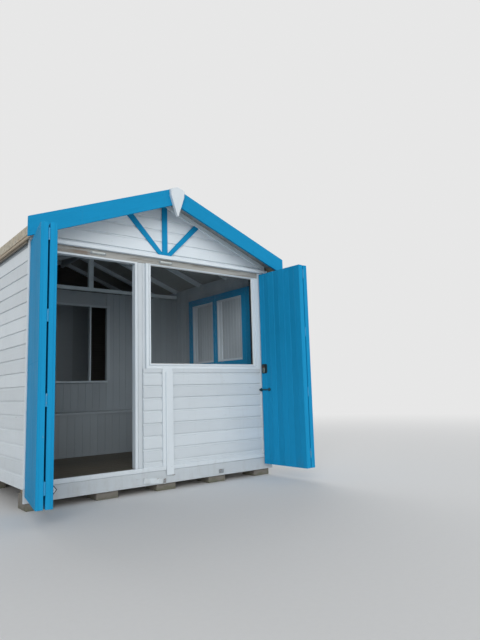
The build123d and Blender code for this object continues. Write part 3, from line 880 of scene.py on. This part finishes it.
class HUT_OT_gable(HutPiece, bpy.types.Operator):
    """Front gable boards, rake trims, azure fan and finial"""
    bl_idname = "hut.gable"
    bl_label = "Front gable"

    first_joint = 2.3723

    def make(self):
        cover, thick = boards().cover, boards().thickness
        start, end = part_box("front_gable")
        shape = Shape()
        levels = [self.first_joint + cover * k for k in range(5)]
        sloped_boards(shape, levels, POST_OUTER, end.z, GABLE_FACE + thick, -1)
        foot = self.first_joint - start.z
        sill = [(0, 0), (thick, 0), (thick, foot - 0.020), (0.4 * thick, foot - 0.003), (0, foot - 0.003)]
        shape.prism([(-POST_OUTER, GABLE_FACE + thick - out, start.z + up) for out, up in sill],
                    (2 * POST_OUTER, 0, 0))
        # The gable boards are lightened (tone 1.14): painted light under the roof's overhang.
        place_toned("gable_boards", shape, white("X", 0.32, tone=1.14), "front_gable")
        core = gable_slab(POST_OUTER, GABLE_FACE + thick + 0.0005, end.y, start.z,
                          under_roof(POST_OUTER), end.z)
        core.place("gable_core", inside("X", 0.9, "white_paint"))
        # The rake trim is lightened further (tone 1.3): painted light in the shade of the barge boards.
        dress("rake_trim", white("X", 0.25, tone=1.3), 0.002)
        dress("gable_fan", azure("Z", 0.15), 0.002)
        dress("finial", white("Z", 0.3, tone=1.03))
        # The trim rail is lightened (tone 1.12): painted light of the sky on its top.
        dress("trim_rail", white("X", 0.18, tone=1.12), 0.004)
        board_nails("gable_nails", (-2 * STUD_SPACING, GABLE_FACE, high("trim_rail").z + 0.075),
                    (0, -1, 0), "X", 5, STUD_SPACING, 1)


class HUT_OT_roof(HutPiece, bpy.types.Operator):
    """Deck boards, felt with laps and turned-down edges, rafters, barge boards and eaves"""
    bl_idname = "hut.roof"
    bl_label = "Roof"

    deck_boards = 13
    felt_thickness = 0.0045
    sheet_lap = 0.075
    lap_at = 0.62
    skirt = 0.086
    upstand = 0.046
    clout_head = 0.0055
    clouts_in_row = 33
    clout_spacing = 0.1

    def make(self):
        for side, name in ((-1, "left"), (1, "right")):
            self.deck(side, name)
            self.felt(side, name)
            self.clouts(side, name)
        self.ridge_cap()
        dress("rafters", inside("X", 1.45))
        dress("ridge_board", inside("Y", 1.05))
        # The eave boards' dark brown is partly painted shade under the eaves.
        for node, colour in (("fascias", (0.40, 0.325, 0.23)), ("eave_boards", (0.15, 0.125, 0.09))):
            dress(node, brushed_paint("eave_paint_and_shade", "roof_felt", colour, "Y", 0.4, 0.05), 0.002)
        dress("barge_left", azure("X", 0.16, turn=-TILT))
        dress("barge_right", azure("X", 0.16, turn=TILT))
        dress("barge_rear", azure("X", 0.16))
        self.barge_nails()

    def deck(self, side, name):
        start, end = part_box("roof_" + name)
        down = Vector((side * math.cos(TILT), 0, -math.sin(TILT)))
        inward = Vector((-side * math.sin(TILT), 0, -math.cos(TILT)))
        # The deck boards' mid grey is partly painted shade: their underside is kept darker than the rafters.
        joined_boards("roof_boards_" + name, brushed_paint(
            "roof_boards", "inside_paint", (0.30, 0.315, 0.305), "Y", 0.3, 0.01, 0.55),
            on_roof(side, 0.0, 0.0, start.y), down, inward, EAVE / math.cos(TILT), self.deck_boards,
            (ROOF_TOP - ROOF_UNDER) * math.cos(TILT), 0.0025, (0, end.y - start.y, 0), "roof_" + name)

    def stations(self, cuts, name="left", inset=0.0):
        """Places along one side of the roof from front to back."""
        start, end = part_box("roof_" + name)
        return [start.y + inset + (end.y - start.y - 2 * inset) * k / cuts for k in range(cuts + 1)]

    def sheet(self, shape, side, name, x0, x1, lift):
        """One strip of felt, wavy by a millimetre or so."""
        rings = []
        for y in self.stations(40, name):
            wave = 0.0012 * noise.noise(Vector((x0 * 3, y * 5, lift * 900)))
            tops, unders = [], []
            for j in range(7):
                x = x0 + (x1 - x0) * j / 6
                swell = 0.0008 * noise.noise(Vector((x * 6, y * 6, side)))
                tops.append(on_roof(side, x, lift + self.felt_thickness + wave * (j == 6) + swell, y))
                unders.append(on_roof(side, x, lift, y))
            rings.append(tops + unders[::-1])
        shape.loft(rings)

    def felt(self, side, name):
        """Two lapped sheets, the skirt over the eaves, and the felt turned up behind the barge boards."""
        thick = self.felt_thickness
        shape = Shape()
        self.sheet(shape, side, name, self.lap_at, EAVE, 0.0003)
        self.sheet(shape, side, name, 0.0, self.lap_at + self.sheet_lap, 0.0009 + thick)
        face = EAVE + 0.0003
        top = on_roof(1, EAVE, 0.0).z + thick
        skirt = []
        for y in self.stations(60, name):
            foot = top - self.skirt + 0.004 * noise.noise(Vector((side * 7, y * 4, 1)))
            belly = 0.0015 * noise.noise(Vector((side * 3, y * 7, 5)))
            outline = [(0, top - thick), (-0.004, top), (0.6 * thick, top - 0.2 * thick),
                       (thick, top - 1.2 * thick), (thick + 0.001 + belly, top - self.skirt / 2),
                       (thick + 0.002 + belly, foot), (0.0005, foot)]
            skirt.append([(side * (face + out), y, z) for out, z in outline])
        shape.loft(skirt)
        rise = Vector((0, 0, self.upstand))
        front, rear = self.stations(1, name)
        for y in (front + 0.0015, rear - 0.0045):
            ridge, eave = (on_roof(side, x, 2 * thick, y) for x in (0.0, EAVE))
            shape.prism([ridge, eave, eave + rise, ridge + rise], (0, 0.003, 0))
        shape.place("felt_" + name, mineral_felt())

    def clouts(self, side, name):
        """Broad nail heads along the skirt and along the lap."""
        thick = self.felt_thickness
        front = low("roof_" + name).y
        foot = on_roof(1, EAVE, 0.0).z + thick - self.skirt
        square = on_roof(side, 0.0, 1.0) - on_roof(side, 0.0, 0.0)
        seat = on_roof(side, self.lap_at + self.sheet_lap - 0.02, 2 * thick + 0.0008, front + 0.04)
        for row, place, out, wander in (
                ("eave", (side * (EAVE + thick + 0.0012), front + 0.06, foot + 0.022), (side, 0, 0),
                 (0, 0.006, 0.003)),
                ("lap", seat, square, (0, 0.005, 0))):
            place_rows(f"{row}_clouts_{name}", nail(place, out, self.clout_head), zinc_iron(0.12),
                       self.clouts_in_row, (0, self.clout_spacing, 0), wander=wander, smooth=True)

    def ridge_cap(self):
        reach = 0.15
        lift = 2 * self.felt_thickness + 0.0015
        rings = []
        for y in self.stations(40, inset=0.001):
            hem = 0.003 * noise.noise(Vector((0, y * 5, 3)))
            tops, unders = [], []
            for j in range(13):
                x = (reach + hem) * (j - 6) / 6
                side = -1 if x < 0 else 1
                round_off = 0.0075 * max(0.0, 1 - abs(x) / 0.045) ** 2
                for points, rise in ((tops, lift + self.felt_thickness), (unders, lift)):
                    points.append((x, y, on_roof(side, abs(x), rise).z - round_off + 0.002))
            rings.append(tops + unders[::-1])
        Shape().loft(rings).place("ridge_cap", mineral_felt())

    def barge_nails(self):
        """Pairs of heads where the barge boards are nailed to the roof."""
        depth = RIDGE - BARGE_SLOPE * BARGE_END - low("barge_right").z
        first, spacing = 0.16, 0.42
        level = RIDGE - BARGE_SLOPE * first - depth * 0.25
        for side, name in ((-1, "left"), (1, "right")):
            nails("barge_nails_" + name, (side * first, low("barge_left").y, level), (0, -1, 0),
                  azure("X", 0.2, 0.8), 4, (side * spacing, 0, -BARGE_SLOPE * spacing),
                  2, (0, 0, -depth * 0.5))


class HUT_OT_front(HutPiece, bpy.types.Operator):
    """Plinth, threshold, posts, weathered header, dado boards, window and lamps"""
    bl_idname = "hut.front"
    bl_label = "Front below the gable"

    dado_first = 0.2912
    lamp_length = 0.150

    def make(self):
        # The plinth is darkened (tone 0.78): painted shade low down.
        dress("plinth_board", white("X", 0.42, 0.012, 0.78))
        self.threshold()
        dress("header_beam", weathered_header())
        dress("door_frame", white("Z", 0.3))
        self.post()
        dress("centre_batten", white("Z", 0.35, tone=1.02))
        self.dado()
        self.window()
        self.small_boards()
        self.lamps()

    def threshold(self):
        """The rail over the plinth: a rounded nose with a drip groove under it."""
        start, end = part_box("threshold_rail")
        outline = [(start.y + 0.013, start.z), (start.y + 0.013, start.z + 0.007),
                   (start.y, start.z + 0.007), (start.y, end.z - 0.005),
                   (start.y + 0.0015, end.z - 0.0015), (start.y + 0.005, end.z), (end.y, end.z),
                   (end.y, start.z)]
        rail = Shape().prism([(start.x, y, z) for y, z in outline], (end.x - start.x, 0, 0))
        rail.place("threshold_nose", white("X", 0.45, 0.02, 0.97), "threshold_rail")

    def post(self):
        """The post between door and window: two upright boards with a V joint between them."""
        start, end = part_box("middle_post")
        joint = low("dado_wall").x
        shape = Shape()
        for x0, x1 in ((start.x + 0.004, joint), (joint, end.x)):
            outline = vee_board(x1 - x0, end.y - start.y)
            shape.prism([(x0 + across, end.y - out, start.z) for across, out in outline],
                        (0, 0, end.z - start.z))
        shape.place("middle_post_boards", white("Z", 0.35, 0.015, 0.85), "middle_post")

    def dado(self):
        """Shiplap from a cut board at the foot to a plain one under the window."""
        cover = boards().cover
        start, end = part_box("dado_wall")
        thick = 0.015
        face = start.y + thick
        count = math.floor((end.z - self.dado_first) / cover)
        foot = self.dado_first - start.z
        full = shiplap(thick)
        cut = [(0, 0), (thick, 0)] + [(out, up - cover + foot) for out, up in full if up > cover - foot]
        top = self.dado_first + cover * count
        plain = [(0, 0), (thick - 0.0015, 0), (thick, 0.0015), (thick, end.z - top), (0, end.z - top)]
        runs = [(cut, start.z)] + [(full, self.dado_first + cover * k) for k in range(count)] + [(plain, top)]
        draw = random.Random(3)
        shape = Shape()
        for outline, level in runs:
            stray = draw.uniform(-1, 1) * boards().wander
            shape.prism([(start.x, face - out + (stray if out else 0), level + up) for out, up in outline],
                        (end.x - start.x, 0, 0))
        place_toned("dado_boards", shape, white("X", 0.42, 0.01, 0.93), "dado_wall")
        core = Shape().block((low("window_frame").x, face, start.z), end)
        core.place("dado_core", inside("X", slot="white_paint"))
        board_nails("dado_nails", (start.x + 0.06, start.y, nailed(self.dado_first)), (0, -1, 0), "X",
                    4, 0.46, count)

    def window(self):
        """A mitred frame whose moulding steps in to the glass, a bead of putty and a near-black stop behind
        the glass, which is painted shade in the reveal.
        """
        start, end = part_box("window_frame")
        pane_low, pane_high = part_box("window_glass")
        glass, front = pane_low.y, start.y
        moulding = [(0.0, glass), (0.0, front + 0.006), (0.06, front + 0.004), (0.30, front + 0.004),
                    (0.32, front + 0.014), (0.43, front + 0.014), (0.46, front + 0.001), (1.0, front),
                    (1.0, end.y), (0.5, end.y), (0.46, front + 0.046), (0.0, front + 0.046)]
        rings = []
        for share, y in moulding:
            a, b = pane_low.lerp(start, share), pane_high.lerp(end, share)
            rings.append(front_ring(y, a.x, b.x, a.z, b.z))
        Shape().loft(rings, True).place("window_moulding", white("X", 0.25, tone=1.06), "window_frame",
                                        bevel=0.0012)
        dress("window_glass", window_pane(), 0.0)
        bead, lip = 0.006, 0.004
        back = pane_high.y + 0.0005
        # The near-black stop is painted shade of the reveal behind the glass.
        reveal_shade_paint = brushed_paint("reveal_shade_paint", "white_paint", (0.022, 0.026, 0.030), "Z", 0.2)
        for name, finish, outline in (
                ("window_putty", sealing_putty(), [(0.0, glass), (0.0, glass - bead), (bead, glass)]),
                ("window_stop", reveal_shade_paint, [(-lip, back), (lip, back), (lip, front + 0.048),
                                             (-lip, front + 0.048)])):
            rings = [front_ring(y, pane_low.x + inset, pane_high.x - inset, pane_low.z + inset,
                                pane_high.z - inset) for inset, y in outline]
            Shape().loft(rings, True).place(name, finish)

    def small_boards(self):
        """The cleat, the keeps and the dark diamond plate with its white face."""
        dress("cleat_board", white("X", 0.6, 0.04, 0.95), 0.002)
        dress("keeps", zinc_iron(0.10), 0.001)
        start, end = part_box("corner_plate")
        middle = (start + end) / 2
        plate = Shape()
        for share, y0, y1 in ((1.0, start.y + 0.001, end.y), (0.70, start.y, start.y + 0.0012)):
            x, z = share * (end.x - start.x) / 2, share * (end.z - start.z) / 2
            plate.prism([(middle.x - x, y0, middle.z), (middle.x, y0, middle.z - z),
                         (middle.x + x, y0, middle.z), (middle.x, y0, middle.z + z)], (0, y1 - y0, 0))
        piece = plate.place("diamond_plate", zinc_iron(0.05, (0.05, 0.05, 0.055)), "corner_plate",
                            bevel=0.0004)
        piece.data.materials.append(white("X", 0.3)[0])
        for face in piece.data.polygons:
            face.material_index = int(face.center.y < start.y + 0.0006)
        head = nail((middle.x, start.y, middle.z), (0, -1, 0), 0.004)
        head.place("plate_screw", zinc_iron(0.1), smooth=True)

    def lamps(self):
        """Small strip lamps: a domed cover on a tray, with a bracket at each end."""
        start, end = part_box("lamps")
        height = end.z - start.z
        tray = end.y - 0.008
        covers = Shape()
        brackets = Shape()
        for x0 in (start.x, end.x - self.lamp_length):
            x1 = x0 + self.lamp_length
            covers.block((x0, tray, start.z), (x1, end.y, end.z))
            angles = (math.pi * k / 8 for k in range(9))
            covers.prism([(x0 + 0.012, tray - math.sin(a) * (tray - start.y - 0.001),
                           start.z + height * (0.5 - 0.44 * math.cos(a))) for a in angles],
                         (self.lamp_length - 0.024, 0, 0))
            for left in (x0 + 0.001, x1 - 0.012):
                brackets.block((left, start.y + 0.006, start.z + 0.002), (left + 0.011, tray, end.z - 0.002))
        covers.place("lamp_covers", lamp_plastic(), "lamps", bevel=0.0012, segments=2, smooth=True)
        brackets.place("lamp_ends", zinc_iron(0.06), bevel=0.001)


class HUT_OT_inside(HutPiece, bpy.types.Operator):
    """Partition boards, hatch, truss, bench and the open shutters"""
    bl_idname = "hut.inside"
    bl_label = "Inside"

    bead_width = 0.019
    shutter_margin = 0.084
    shutter_rail = 0.087
    shutter_gap = 0.005

    def make(self):
        dress("hatch_ledge", inside("X", 1.05))
        start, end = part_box("hatch_post")
        post = Shape().block(start, (start.x + self.bead_width, end.y, end.z))
        post.place("hatch_bead_post", inside("Z", 1.25), "hatch_post", bevel=0.003, segments=2)
        # The truss is lightened (tone 1.75): painted light from the doorway.
        dress("truss", inside("X", 1.75))
        self.partition()
        self.bench()
        self.shutters()

    def uprights(self, name, x0, x1, y, z0, z1, thick, tone, *nodes):
        """Upright V-jointed boards that face the front, from x0 to x1."""
        count = max(1, round((x1 - x0) / boards().match_pitch))
        joined_boards(name, inside("Z", tone), (x0, y + thick, z0), (1, 0, 0), (0, -1, 0), x1 - x0,
                      count, thick, 0.0018, (0, 0, z1 - z0), *nodes)

    def partition(self):
        start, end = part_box("partition")
        thick = 0.014
        ledge = low("hatch_ledge").z
        right = high("hatch_ledge").x
        band = high("hatch_post").z
        top = end.z - 0.018
        core = Shape()
        core.block((start.x, start.y + thick, start.z), (end.x, end.y, ledge))
        core.block((right, start.y + thick, ledge), (end.x, end.y, top))
        core.block((start.x, start.y + 0.004, band), (right - 0.001, end.y, top))
        # The core is darker (tone 0.72): painted shade under the tie beam.
        core.place("partition_core", inside("X", 0.72), bevel=0.0015)
        self.uprights("partition_boards", right, end.x, start.y, start.z, top, thick, 0.80, "partition")
        self.uprights("partition_base_boards", start.x, right, start.y, start.z, ledge, thick, 0.70)
        casing = Shape()
        proud = start.y - 0.006
        casing.block((right - 0.001, proud, ledge + 0.025), (right + 0.045, start.y, band))
        casing.block((start.x, proud, band), (right + 0.045, start.y + 0.004, band + 0.024))
        casing.place("slot_casing", inside("Z", 0.92), bevel=0.002, segments=2)

    def bench(self):
        start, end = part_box("bench_seat")
        # The bench is darker than the inside paint (tones 0.85 and 0.7): painted shade low inside the hut.
        joined_boards("bench_boards", inside("X", 0.85), start, (0, 1, 0), (0, 0, 1), end.y - start.y, 4,
                      end.z - start.z, 0.003, (end.x - start.x, 0, 0), "bench_seat")
        start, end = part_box("bench_front")
        self.uprights("bench_front_boards", start.x, end.x, start.y, start.z, end.z,
                      end.y - start.y, 0.7, "bench_front")

    def shutters(self):
        """Azure frames round white beads, with a margin strip and seven boards in each."""
        dress("shutter_post", azure("Z", 0.25))
        start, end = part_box("shutters")
        width = (end.y - start.y - self.shutter_gap) / 2
        foot, head = start.z + self.shutter_rail, end.z - self.shutter_rail
        face = end.x - 0.006
        bead = 0.024
        frames, beads, margins = Shape(), Shape(), Shape()
        for k, near_stile, far_stile in ((0, 0.077, 0.040), (1, 0.052, 0.098)):
            near = start.y + k * (width + self.shutter_gap)
            far = near + width
            y0, y1 = near + near_stile, far - far_stile
            outer, inner = (near, far, start.z, end.z), (y0, y1, foot, head)
            frames.loft([side_ring(x, *ring) for x, ring in (
                (start.x, outer), (end.x, outer), (end.x, inner), (start.x, inner))], True)
            beads.loft([side_ring(x, y0 + inset, y1 - inset, foot + inset, head - inset)
                        for inset, x in ((0.0, face), (0.0, start.x + 0.001),
                                         (0.35 * bead, start.x + 0.001), (bead, start.x + 0.006),
                                         (bead, face))], True)
            margins.block((end.x - 0.024, y1 - self.shutter_margin, foot), (face, y1, head))
            joined_boards(f"shutter_boards_{k + 1}", inside("Z", 1.1), (face, y0, foot), (0, 1, 0),
                          (-1, 0, 0), y1 - self.shutter_margin - 0.008 - y0, 7, 0.014, 0.0035,
                          (0, 0, head - foot))
        # The frames, boards, beads and margins are lifted above their paints (tones 1.1 to 1.6), partly as
        # painted light through the window.
        frames.place("shutter_frames", azure("Z", 0.1, 1.15), "shutters", bevel=0.0025, segments=2)
        beads.place("shutter_beads", inside("Z", 1.45))
        margins.place("shutter_margins", inside("Z", 1.6), bevel=0.0015)


class Leaf:
    """The place of a door leaf: s from the hinged end, t out of its boarded face, z up."""

    def __init__(self, node, boarded_side):
        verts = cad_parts[node].data.vertices
        self.foot, self.top = low(node).z, high(node).z
        corners = []
        for v in verts:
            p = Vector((v.co.x, v.co.y, 0))
            if v.co.z < self.foot + 0.001 and all((p - q).length > 0.002 for q in corners):
                corners.append(p)
        corners.sort(key=lambda p: -p.y)
        near = (corners[0] + corners[1]) / 2
        far = (corners[2] + corners[3]) / 2
        self.length = (far - near).length
        self.thick = (corners[0] - corners[1]).length
        self.along = (far - near).normalized()
        out = self.along.cross(Vector((0, 0, 1)))
        self.out = out if out.x * boarded_side > 0 else -out
        self.origin = near - self.out * self.thick / 2

    def point(self, s, t, z):
        return self.origin + self.along * s + self.out * t + Vector((0, 0, z))

    def run_to(self, y):
        """How far along the leaf's boarded face lies the place y."""
        return (y - self.origin.y - self.out.y * self.thick) / self.along.y

    def slab(self, shape, s0, s1, t0, t1, z0, z1):
        corners = ((s0, t0), (s1, t0), (s1, t1), (s0, t1))
        shape.prism([self.point(s, t, z0) for s, t in corners], (0, 0, z1 - z0))


class HUT_OT_doors(HutPiece, bpy.types.Operator):
    """Four door leaves of upright boards on a frame, with hinges, padlock and cabin hook"""
    bl_idname = "hut.doors"
    bl_label = "Folding doors"

    board_thickness = 0.020
    stile = 0.092
    rail = 0.115
    rail_setback = 0.004
    nail_inset = 0.05
    hasp_height = 0.040
    hasp_thickness = 0.003
    lock_width = 0.034
    lock_depth = 0.020
    knuckles = 5

    def make(self):
        for name, side in (("left", -1), ("right", 1)):
            for position, boarded in (("outer", side), ("inner", -side)):
                self.leaf(f"door_{name}_{position}", boarded)
            self.hinges(f"hinges_{name}", Leaf(f"door_{name}_outer", side))
        leaf = Leaf("door_right_inner", -1)
        self.hasp(leaf)
        self.cabin_hook(leaf)

    def leaf(self, node, boarded):
        """Boards on the face, a frame of stiles and three rails behind, and nails at the rails."""
        leaf = Leaf(node, boarded)
        count = boards().door_boards
        depth = leaf.thick - self.board_thickness
        height = leaf.top - leaf.foot
        joined_boards(node + "_boards", azure(), leaf.point(0, depth, leaf.foot), leaf.along, leaf.out,
                      leaf.length, count, self.board_thickness, 0.0045, (0, 0, height), node)
        shape = Shape()
        far_stile = leaf.length - self.stile
        leaf.slab(shape, 0, self.stile, 0, depth, leaf.foot, leaf.top)
        leaf.slab(shape, far_stile, leaf.length, 0, depth, leaf.foot, leaf.top)
        for level in (leaf.foot, (leaf.foot + leaf.top - self.rail) / 2, leaf.top - self.rail):
            leaf.slab(shape, self.stile, far_stile, self.rail_setback, depth, level, level + self.rail)
        shape.place(node + "_frame", azure("Z", 0.22, 1.06), bevel=0.0025, segments=2)
        head = nail(leaf.point(0.03, leaf.thick, leaf.foot + self.nail_inset), leaf.out, 0.0036)
        place_rows(node + "_nails", head, azure("Z", 0.3, 0.8), count, leaf.along * leaf.length / count,
                   3, (0, 0, height / 2 - self.nail_inset), slot="ironwork", smooth=True)

    def hinges(self, node, leaf):
        """The node's own plates, with knuckles turned over its barrels and screws in the plates."""
        Shape().copy_node(node).place(node + "_plates", painted_iron(), node, bevel=0.0004)
        levels = sorted({round(v.co.z, 4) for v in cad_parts[node].data.vertices})
        height = levels[1] - levels[0]
        barrels = Shape()
        screws = Shape()
        for z in levels[::2]:
            for barrel, radius in ((leaf.point(-0.00725, 0, z), 0.0066),
                                   (leaf.point(leaf.length, -0.007, z), 0.0069)):
                for k in range(self.knuckles):
                    z0, z1 = (height * (k + share) / self.knuckles for share in (0.04, 0.96))
                    barrels.turning(barrel, (0, 0, 1), [(z0, radius), (z1, radius)], 14)
                barrels.turning(barrel, (0, 0, 1), [(height, 0.0035), (height + 0.003, 0.0026)], 10)
            for k in range(3):
                screws.turning(leaf.point(-0.0047, 0.022, z + height * (0.16 + 0.34 * k)), -leaf.along,
                               [(-0.0005, 0.004), (0.0006, 0.0034)], 10)
        barrels.place(node + "_knuckles", painted_iron(), smooth=True)
        screws.place(node + "_screws", zinc_iron(0.08), smooth=True)

    def hasp(self, leaf):
        """A hasp strap over its staple, held by a closed padlock."""
        start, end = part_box("hasp")
        middle = leaf.run_to((start.y + end.y) / 2)
        face = leaf.thick
        proud = face + self.hasp_thickness
        plate_low = end.z - self.hasp_height
        body_top = plate_low - 0.002
        half_lock = self.lock_width / 2
        dark = zinc_iron(0.0, (0.007, 0.032, 0.042), 0.1)

        strap = Shape()
        round_off = 0.022
        near, far = middle - 0.050, middle + 0.040
        outline = []
        for quarter, (s, z, side_s, side_z) in enumerate((
                (far, end.z, 1, 1), (near, end.z, -1, 1), (near, start.z, -1, -1), (far, start.z, 1, -1))):
            for k in range(5):
                angle = math.pi * (quarter + k / 4) / 2
                outline.append(leaf.point(s + round_off * (math.cos(angle) - side_s), face,
                                          z + round_off * (math.sin(angle) - side_z)))
        strap.prism(outline, leaf.out * self.hasp_thickness)
        leaf.slab(strap, middle - 0.026, middle + 0.014, proud, proud + 0.0025, plate_low + 0.004,
                  end.z - 0.004)
        strap.place("hasp_strap", dark, "hasp", bevel=0.0009, segments=2)

        middle -= 0.005
        lock = Shape()
        leaf.slab(lock, middle - half_lock, middle + half_lock, proud, proud + self.lock_depth,
                  start.z + 0.007, body_top)
        lock.place("padlock_body", zinc_iron(0.0, (0.13, 0.165, 0.155), 0.3), bevel=0.0085, segments=4,
                   smooth=True)

        reach = half_lock - 0.0055
        spring = body_top + 0.011
        bow = [(-reach, body_top - 0.004)]
        bow += [(-reach * math.cos(a), spring + reach * math.sin(a))
                for a in (math.pi * k / 10 for k in range(11))]
        bow.append((reach, body_top - 0.004))
        depth = proud + self.lock_depth / 2
        Shape().tube([leaf.point(middle + s, depth, z) for s, z in bow], 0.0035, 12).place(
            "padlock_shackle", zinc_iron(0.22, (0.035, 0.032, 0.032), 0.2), smooth=True)

        knuckle = Shape().turning(leaf.point(middle - 0.030, face + 0.004, plate_low), (0, 0, 1),
                                  [(0, 0.004), (self.hasp_height, 0.004)], 12)
        crown = spring + reach
        staple = [(0.002, 0.001), (0.014, 0.001), (0.019, -0.004), (0.014, -0.009), (0.002, -0.009)]
        knuckle.tube([leaf.point(middle, face + out, crown + up) for out, up in staple], 0.0022)
        knuckle.place("hasp_staple", dark, smooth=True)

    def cabin_hook(self, leaf):
        """A round bar with a bent hook, from a screw eye beside the window to one on the leaf."""
        start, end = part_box("cabin_hook")
        level = (start.z + end.z) / 2
        reach = (end.z - start.z) / 2
        near = Vector((start.x + reach, end.y - 2.5 * reach, level))
        far_run = leaf.run_to(start.y + reach)
        far = leaf.point(far_run, leaf.thick + reach, level)
        along = (far - near).normalized()
        shape = Shape()
        shape.tube([near, far - along * 0.012, far - along * 0.004 + leaf.out * 0.001, far,
                    far + along * 0.002 - leaf.out * 0.005], 0.0068, 12)
        upright = Vector((0, 0, 1))
        for centre, axis in ((near, Vector((0, 1, 0))), (far, leaf.out)):
            shape.tube(circle(centre, upright.cross(axis), upright, 0.0115, 16), 0.0048, 8, closed=True)
        for foot, out, flange, shank in ((leaf.point(far_run, leaf.thick, level), leaf.out, 0.019, reach),
                                         ((near.x, end.y, level), (0, -1, 0), 0.0115, 1.5 * reach)):
            shape.turning(foot, out, [(0, flange), (0.002, flange), (0.0025, 0.003),
                                      (shank - 0.004, 0.003)], 14)
        shape.place("cabin_hook_bar", zinc_iron(0.0, (0.006, 0.055, 0.075), 0.1), "cabin_hook", smooth=True)


class HUT_PT_panel(bpy.types.Panel):
    """Lists the settings and the operators"""
    bl_idname = "HUT_PT_panel"
    bl_label = "Beach hut"
    bl_space_type = "VIEW_3D"
    bl_region_type = "UI"
    bl_category = "Beach hut"

    def draw(self, context):
        for group in (boards(), paints()):
            for name in group.__annotations__:
                self.layout.prop(group, name)
        for operator in OPERATORS:
            self.layout.operator(operator.bl_idname)


OPERATORS = (HUT_OT_stage, HUT_OT_ground_works, HUT_OT_floor, HUT_OT_walls, HUT_OT_gable,
             HUT_OT_roof, HUT_OT_front, HUT_OT_inside, HUT_OT_doors)
CLASSES = (HutBoards, HutPaint, *OPERATORS, HUT_PT_panel)


def register():
    for item in CLASSES:
        bpy.utils.register_class(item)
    bpy.types.Scene.hut_boards = bpy.props.PointerProperty(type=HutBoards)
    bpy.types.Scene.hut_paint = bpy.props.PointerProperty(type=HutPaint)


def unregister():
    del bpy.types.Scene.hut_paint
    del bpy.types.Scene.hut_boards
    for item in reversed(CLASSES):
        bpy.utils.unregister_class(item)


def main():
    register()
    for operator in OPERATORS:
        family, action = operator.bl_idname.split(".")
        getattr(getattr(bpy.ops, family), action)()


if __name__ == "__main__":
    main()
